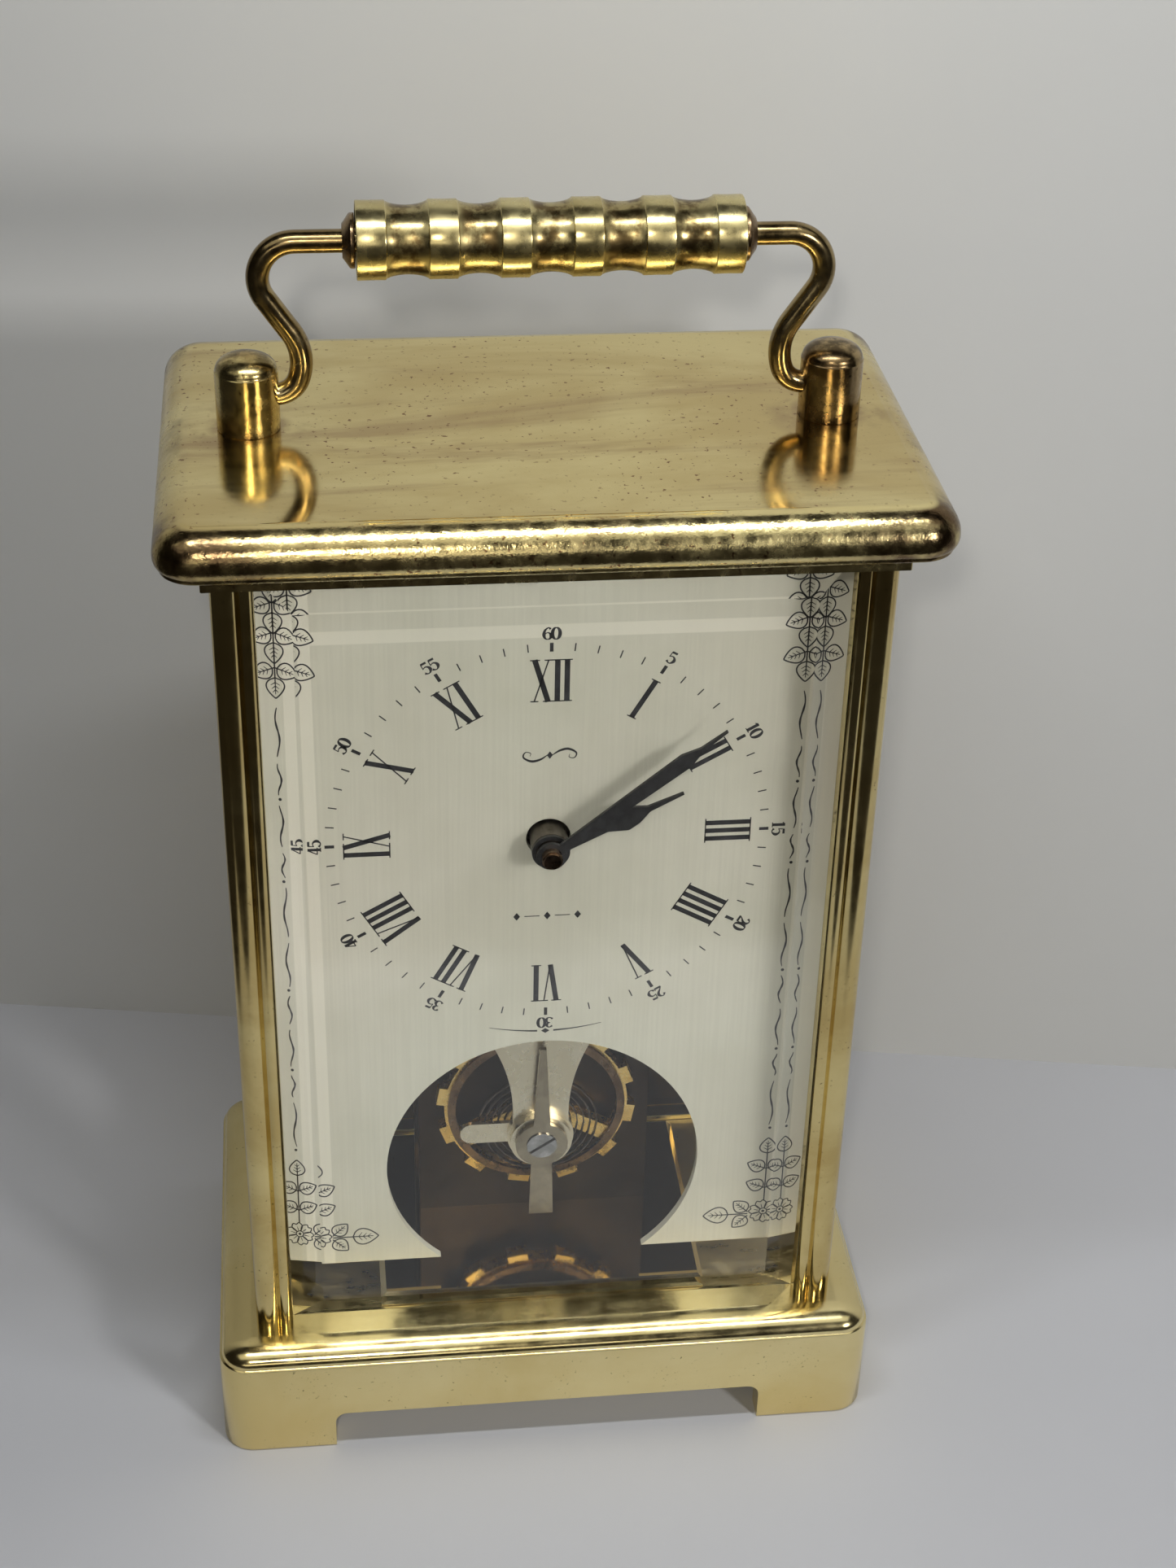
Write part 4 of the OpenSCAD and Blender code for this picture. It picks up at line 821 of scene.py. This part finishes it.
# each digit's strokes in a box one high: control points, then a width for each or one for all
DIGITS = {
    "1": [([(0.02, 0), (0.02, 1)], 0.2), ([(-0.2, 0.03), (0.24, 0.03)], 0.06),
          ([(0.0, 0.97), (-0.2, 0.82)], 0.07)],
    "2": [([(-0.24, 0.76), (-0.15, 0.93), (0.03, 0.97), (0.22, 0.78), (0.14, 0.52), (-0.1, 0.28),
            (-0.25, 0.05)], [0.16, 0.09, 0.08, 0.2, 0.16, 0.08, 0.06]),
          ([(-0.27, 0.07), (0.27, 0.07)], 0.14), ([(0.25, 0.05), (0.28, 0.26)], 0.06)],
    "3": [([(-0.22, 0.83), (-0.06, 0.96), (0.12, 0.93), (0.2, 0.75), (0.1, 0.57), (-0.06, 0.53)],
           [0.15, 0.07, 0.1, 0.18, 0.1, 0.05]),
          ([(-0.06, 0.53), (0.14, 0.48), (0.25, 0.28), (0.14, 0.07), (-0.06, 0.04), (-0.25, 0.17)],
           [0.05, 0.1, 0.2, 0.1, 0.07, 0.15])],
    "4": [([(0.1, 0), (0.1, 1)], 0.19), ([(0.06, 0.98), (-0.3, 0.3)], 0.07),
          ([(-0.32, 0.28), (0.3, 0.28)], 0.07), ([(-0.08, 0.03), (0.28, 0.03)], 0.06)],
    "5": [([(-0.2, 0.92), (0.22, 0.92)], 0.14), ([(-0.19, 0.95), (-0.22, 0.5)], 0.06),
          ([(-0.22, 0.52), (-0.02, 0.61), (0.18, 0.52), (0.26, 0.3), (0.12, 0.07), (-0.06, 0.03),
            (-0.26, 0.16)], [0.05, 0.07, 0.13, 0.2, 0.1, 0.07, 0.16])],
    "6": [([(0.22, 0.86), (0.04, 0.97), (-0.19, 0.75), (-0.26, 0.4), (-0.17, 0.12), (0.02, 0.03), (0.2, 0.12),
            (0.25, 0.32), (0.14, 0.53), (-0.05, 0.56), (-0.22, 0.4)],
           [0.15, 0.07, 0.14, 0.2, 0.12, 0.06, 0.13, 0.19, 0.1, 0.06, 0.05])],
    "0": [([(0.27 * math.sin(a), 0.5 + 0.47 * math.cos(a)) for a in [k * math.pi / 8 for k in range(17)]],
           [0.06 + 0.15 * abs(math.sin(k * math.pi / 8)) for k in range(17)])],
}
DIGIT_H = 1.55
BOLD = 1.9


def arabic(text):
    """Draws a minute number centred on the local origin."""
    step = 0.62 * DIGIT_H
    for k, c in enumerate(text):
        shift = (k - (len(text) - 1) / 2) * step
        for points, widths in DIGITS[c]:
            scaled = [(shift + u * DIGIT_H, v * DIGIT_H) for u, v in points]
            wide = widths * BOLD if isinstance(widths, float) else [w * BOLD for w in widths]
            if len(points) > 2:
                ink_plate.curve(scaled, wide, 3)
            else:
                ink_plate.stroke(scaled, wide)


for hour, text in enumerate("XII I II III IIII V VI VII VIII IX X XI".split()):
    ink_plate.radial(30 * hour, NUMERAL_R)
    roman(text)
    ink_plate.radial(30 * hour, MINUTES_R)
    arabic(str(5 * hour or 60))
for minute in range(60):
    ink_plate.radial(6 * minute, 0)
    tick_in, tick_w = (TICK_IN, 0.15) if minute % 5 else (FIVE_IN, 0.40)
    ink_plate.stroke([(0, tick_in), (0, TICK_OUT)], tick_w)


STEM_X = 28.65
OUTLINE_W, VEIN_W = 0.17, 0.12
LEAF_STEPS = 12
SPRIG_TOP, SPRIG_FOOT = 120.9, 106.2
VINE_TOP, VINE_FOOT = 102.4, 40
WAVE_STEPS = 8


def leaf(x, z, turn, size):
    """A veined leaf in outline, whose stalk is at (x, z) and whose tip points along turn."""
    ink_plate.upright(x, z, turn)
    side = []
    for k in range(LEAF_STEPS + 1):
        t = k / LEAF_STEPS
        side.append((0.37 * size * math.sin(math.pi * t ** 0.72) ** 0.85, 0.1 * size + 0.9 * size * t))
    ink_plate.stroke(side, OUTLINE_W)
    ink_plate.stroke([(-u, v) for u, v in side], OUTLINE_W)
    ink_plate.stroke([(0, 0), (0, 0.82 * size)], [0.17, 0.09])
    for v in (0.3, 0.46, 0.62):
        reach = 0.22 * size * (1.15 - v)
        for s in (-1, 1):
            ink_plate.stroke([(0, v * size), (s * reach, v * size + 0.12 * size)], [VEIN_W, 0.06])


def corner_sprig(side):
    """Leaves in pairs on a hanging stem, for an upper corner."""
    x = side * STEM_X
    ink_plate.upright(x, 0)
    ink_plate.stroke([(0, SPRIG_TOP), (0, SPRIG_FOOT)], OUTLINE_W)
    for z in (106.5, 110.9, 114.6, 118.4):
        leaf(x, z, 180, 2.9)
        for lean in (70, -70):
            leaf(x, z + 1.0, 180 + lean, 2.8)


def vine(side):
    """A hanging line of wavy strokes and dots down the side of the dial."""
    z = VINE_TOP
    k = 0
    ink_plate.upright(side * STEM_X, 0, 0, side)
    while z > VINE_FOOT:
        run = (6.4, 4.2, 5.6, 3.4, 7.0)[k % 5]
        wave, widths = [], []
        for j in range(WAVE_STEPS + 1):
            swell = math.sin(math.pi * j / WAVE_STEPS) * (1 + (j + k) % 2) / 2
            wave.append((0.22 * math.sin(0.9 * j + k), z - run * j / WAVE_STEPS))
            widths.append(0.11 + 0.16 * swell)
        ink_plate.curve(wave, widths, 3)
        z -= run + 0.9
        if k % 2:
            ink_plate.dot(0.05, z + 0.35)
            z -= 0.5
        k += 1


def corner_spray(side):
    """A rosette with a rising stem of leaves and three leaves to the inner side, for a lower corner."""
    x, z = side * STEM_X, ROSETTE_Z
    half_petal = [(0.3, 0.5), (0.72, 1.25), (0.4, 1.85)]
    petal = [(-u, v) for u, v in half_petal] + [(0, 1.65)] + half_petal[::-1]
    for k in range(6):
        ink_plate.upright(x, z, 60 * k + 15)
        ink_plate.curve(petal, 0.15, 4)
        ink_plate.stroke([(0, 0.65), (0, 1.25)], [0.12, 0.07])
    ink_plate.upright(x, z)
    ink_plate.stroke(arc(0, 0, 0.5, 0, 360, 16), 0.15)
    ink_plate.dot(0, 0)
    ink_plate.upright(x, 0)
    ink_plate.stroke([(0, z + 1.9), (0, z + 9.8)], OUTLINE_W)
    leaf(x, z + 9.5, 0, 2.8)
    for up in (4.0, 7.2):
        for lean in (66, -66):
            leaf(x, z + up, lean, 2.7)
    inner = x - side * 2.0
    leaf(inner - side * 2.2, z - 0.3, side * 90, 3.6)
    leaf(inner, z, side * 90 - side * 45, 2.7)
    leaf(inner, z - 0.6, side * 90 + side * 45, 2.7)
    ink_plate.upright(inner, z - 0.3)
    ink_plate.stroke([(0, 0), (-2.3 * side, 0)], OUTLINE_W)


for side in (-1, 1):
    corner_sprig(side)
    vine(side)
    corner_spray(side)


SCROLL_Z, LOZENGE_Z = AXIS_Z + 11.2, AXIS_Z - 11
BOW_R = 28.1
BOW_TAPER = [0.24, 0.2, 0.16, 0.13, 0.1, 0.07, 0.05]


def lozenge(x, z, w, h):
    ink_plate.upright(x, z)
    ink_plate.blob([(-w, 0), (0, -h), (w, 0), (0, h)])


# plain flourishes: a double scroll above the hands, three lozenges and a bowed line below
scroll = [(0.3, 0), (1.1, 0.55), (2.1, 0.75), (3.0, 0.2), (2.8, -0.45), (2.2, -0.35), (2.25, 0.05)]
ink_plate.upright(0, SCROLL_Z)
for side in (-1, 1):
    ink_plate.curve([(side * u, side * v) for u, v in scroll], [0.1, 0.26, 0.3, 0.2, 0.12, 0.09, 0.06])
lozenge(0, SCROLL_Z, 0.34, 0.5)
for x in (-3.6, 0, 3.6):
    lozenge(x, LOZENGE_Z, 0.4, 0.55)
for x in (-1.8, 1.8):
    ink_plate.upright(x, LOZENGE_Z)
    ink_plate.stroke([(-0.9, 0), (0.9, 0)], 0.11)
ink_plate.upright()
for side in (-1, 1):
    angles = [math.radians(a) for a in range(2, 15, 2)]
    ink_plate.stroke([(BOW_R * math.sin(a) * side, -BOW_R * math.cos(a)) for a in angles], BOW_TAPER)
lozenge(0, AXIS_Z - BOW_R, 0.5, 0.36)

print_ink = ink("print_black", (0.014, 0.014, 0.016), 0.5)
print_piece = solid("dial_print", ink_plate.verts, ink_plate.faces, print_ink)
place(print_piece, "case", "hand_black")


# ---- studio ----

def paper(name, tone, scale):
    """Matt paper with a faint unevenness."""
    s = Shade(name)
    fibre = s.fit(s.noise(scale, 4, 0.6), 0.3, 0.7)
    s.set("Base Color", s.mix(fibre, toned(tone, 0.97), rgb(*tone)))
    s.set("Roughness", 0.8)
    s.set("Specular IOR Level", 0.15)
    return s


def rectangle(x0, x1, v0, v1, at):
    """Four corners, each put in its place by at(x, v)."""
    return [at(x0, v0), at(x1, v0), at(x1, v1), at(x0, v1)]


def sheet(name, corners, shade):
    mesh = bpy.data.meshes.new(name)
    mesh.from_pydata(corners, [], [tuple(range(len(corners)))])
    mesh.materials.append(shade.material)
    piece = bpy.data.objects.new(name, mesh)
    bpy.context.scene.collection.objects.link(piece)
    return piece


# the polished brass sees the floor only near the clock, as inside a small photo tent open at the front
TENT_FRONT, TENT_LEFT = -0.112, -0.115
FLOOR_HALF = 3
floor_shade = paper("floor_paper", (0.755, 0.765, 0.805), 9)
glossy = floor_shade.add("ShaderNodeLightPath").outputs["Is Glossy Ray"]
floor_x, floor_y = floor_shade.axes()[:2]
outside = floor_shade.op("MAXIMUM", floor_shade.fit(floor_y, TENT_FRONT, TENT_FRONT - 0.01),
                         floor_shade.fit(floor_x, TENT_LEFT, TENT_LEFT - 0.02))
dark = floor_shade.add("ShaderNodeEmission")
dark.inputs["Color"].default_value = rgb(0.02, 0.018, 0.015)
floor_shade.either(floor_shade.op("MULTIPLY", glossy, outside), floor_shade.bsdf, dark)
floor_corners = rectangle(-FLOOR_HALF, FLOOR_HALF, -FLOOR_HALF, FLOOR_HALF, lambda x, y: (x, y, 0))
sheet("floor", floor_corners, floor_shade)

# the wall is close behind the clock; its back is clear, so the other views look past it
wall_shade = paper("wall_paper", (0.74, 0.74, 0.72), 7)
clear = wall_shade.add("ShaderNodeBsdfTransparent")
from_behind = wall_shade.add("ShaderNodeNewGeometry").outputs["Backfacing"]
wall_shade.either(from_behind, wall_shade.bsdf, clear)
WALL_Y, WALL_SLOPE = 0.057, -0.173
WALL_HALF, WALL_FOOT, WALL_TOP = 0.6, -0.001, 0.27


def wall_at(x, z):
    return (x, WALL_Y + WALL_SLOPE * x, z)


sheet("wall", rectangle(-WALL_HALF, WALL_HALF, WALL_FOOT, WALL_TOP, wall_at), wall_shade)


def glow(name, corners, strength, tint):
    """A soft card that only polished surfaces see."""
    s = Shade(name)
    light = s.add("ShaderNodeEmission")
    light.inputs["Color"].default_value = rgb(*tint)
    light.inputs["Strength"].default_value = strength
    s.show(light)
    card = sheet(name, corners, s)
    card.visible_camera = card.visible_diffuse = card.visible_shadow = False
    card.visible_transmission = card.visible_volume_scatter = False


CEILING_Z, LOW_FRONT_Y = 0.31, -0.60
WARM = (1, 0.96, 0.88)
glow("ceiling", rectangle(-0.25, 0.25, -0.19, -0.05, lambda x, y: (x, y, CEILING_Z)), 0.62, (1, 1, 0.93))
glow("low_front", rectangle(-0.35, 0.10, 0.22, 0.30, lambda x, z: (x, LOW_FRONT_Y, z)), 1.6, WARM)


def lamp(name, at, aim, size, watts, tint, size_y=None):
    """A square area lamp, or a strip where size_y is given."""
    data = bpy.data.lights.new(name, "AREA")
    data.energy, data.color, data.size = watts, tint, size
    if size_y:
        data.shape, data.size_y = "RECTANGLE", size_y
    piece = bpy.data.objects.new(name, data)
    piece.location = at
    piece.rotation_mode = "QUATERNION"
    piece.rotation_quaternion = (Vector(aim) - Vector(at)).to_track_quat("-Z", "Y")
    bpy.context.scene.collection.objects.link(piece)


AIM = (0, 0, 0.08)
lamp("flash", (-0.047, -0.300, 0.290), AIM, 0.015, 0.175, WARM)
lamp("strip", (0.0, -0.068, 0.300), (0.0, -0.02, 0.0), 0.17, 0.22, (0.94, 0.97, 1.0), size_y=0.015)
lamp("right", (0.28, -0.40, 0.27), AIM, 0.07, 0.72, (1, 0.985, 0.96))

world = bpy.data.worlds.new("studio")
world.use_nodes = True
tree = world.node_tree
ray_kind = tree.nodes.new("ShaderNodeLightPath").outputs


def background(node, colour, strength):
    """Sets a background node, and gives it back."""
    node.inputs["Color"].default_value = colour
    node.inputs["Strength"].default_value = strength
    return node


# the faint world that lights the scene, then what glossy rays see of it, then what the camera sees
sky = background(tree.nodes["Background"], rgb(0.92, 0.95, 1.0), 0.015)
for kind, colour, strength in (("Is Glossy Ray", rgb(1.0, 0.9, 0.75), 0.012),
                               ("Is Camera Ray", rgb(0.95, 0.97, 1.0), 0.42)):
    seen = background(tree.nodes.new("ShaderNodeBackground"), colour, strength)
    join = tree.nodes.new("ShaderNodeMixShader")
    for socket, value in zip(join.inputs, (ray_kind[kind], sky.outputs[0], seen.outputs[0])):
        tree.links.new(value, socket)
    sky = join
tree.links.new(sky.outputs[0], tree.nodes["World Output"].inputs["Surface"])
bpy.context.scene.world = world
bpy.context.scene.view_settings.view_transform = "Standard"

# ---- camera, at the viewing angle of the photograph ----

SENSOR_W, LENS = 36.0, 57.52
CAMERA_AT = Vector((-25.712, -252.752, 244.667)) * MM
YAW, PITCH, ROLL = -7.195, -32.548, -1.548
camera_data = bpy.data.cameras.new("camera")
camera_data.sensor_width, camera_data.lens = SENSOR_W, LENS
camera_data.clip_start, camera_data.clip_end = 0.01, 20.0
camera = bpy.data.objects.new("camera", camera_data)
bpy.context.scene.collection.objects.link(camera)
turn = Matrix.Rotation(math.radians(YAW), 4, "Z") @ Matrix.Rotation(math.radians(PITCH), 4, "X")
turn = turn @ Matrix.Rotation(math.radians(ROLL), 4, "Y") @ Matrix.Rotation(math.pi / 2, 4, "X")
camera.matrix_world = Matrix.Translation(CAMERA_AT) @ turn
bpy.context.scene.camera = camera
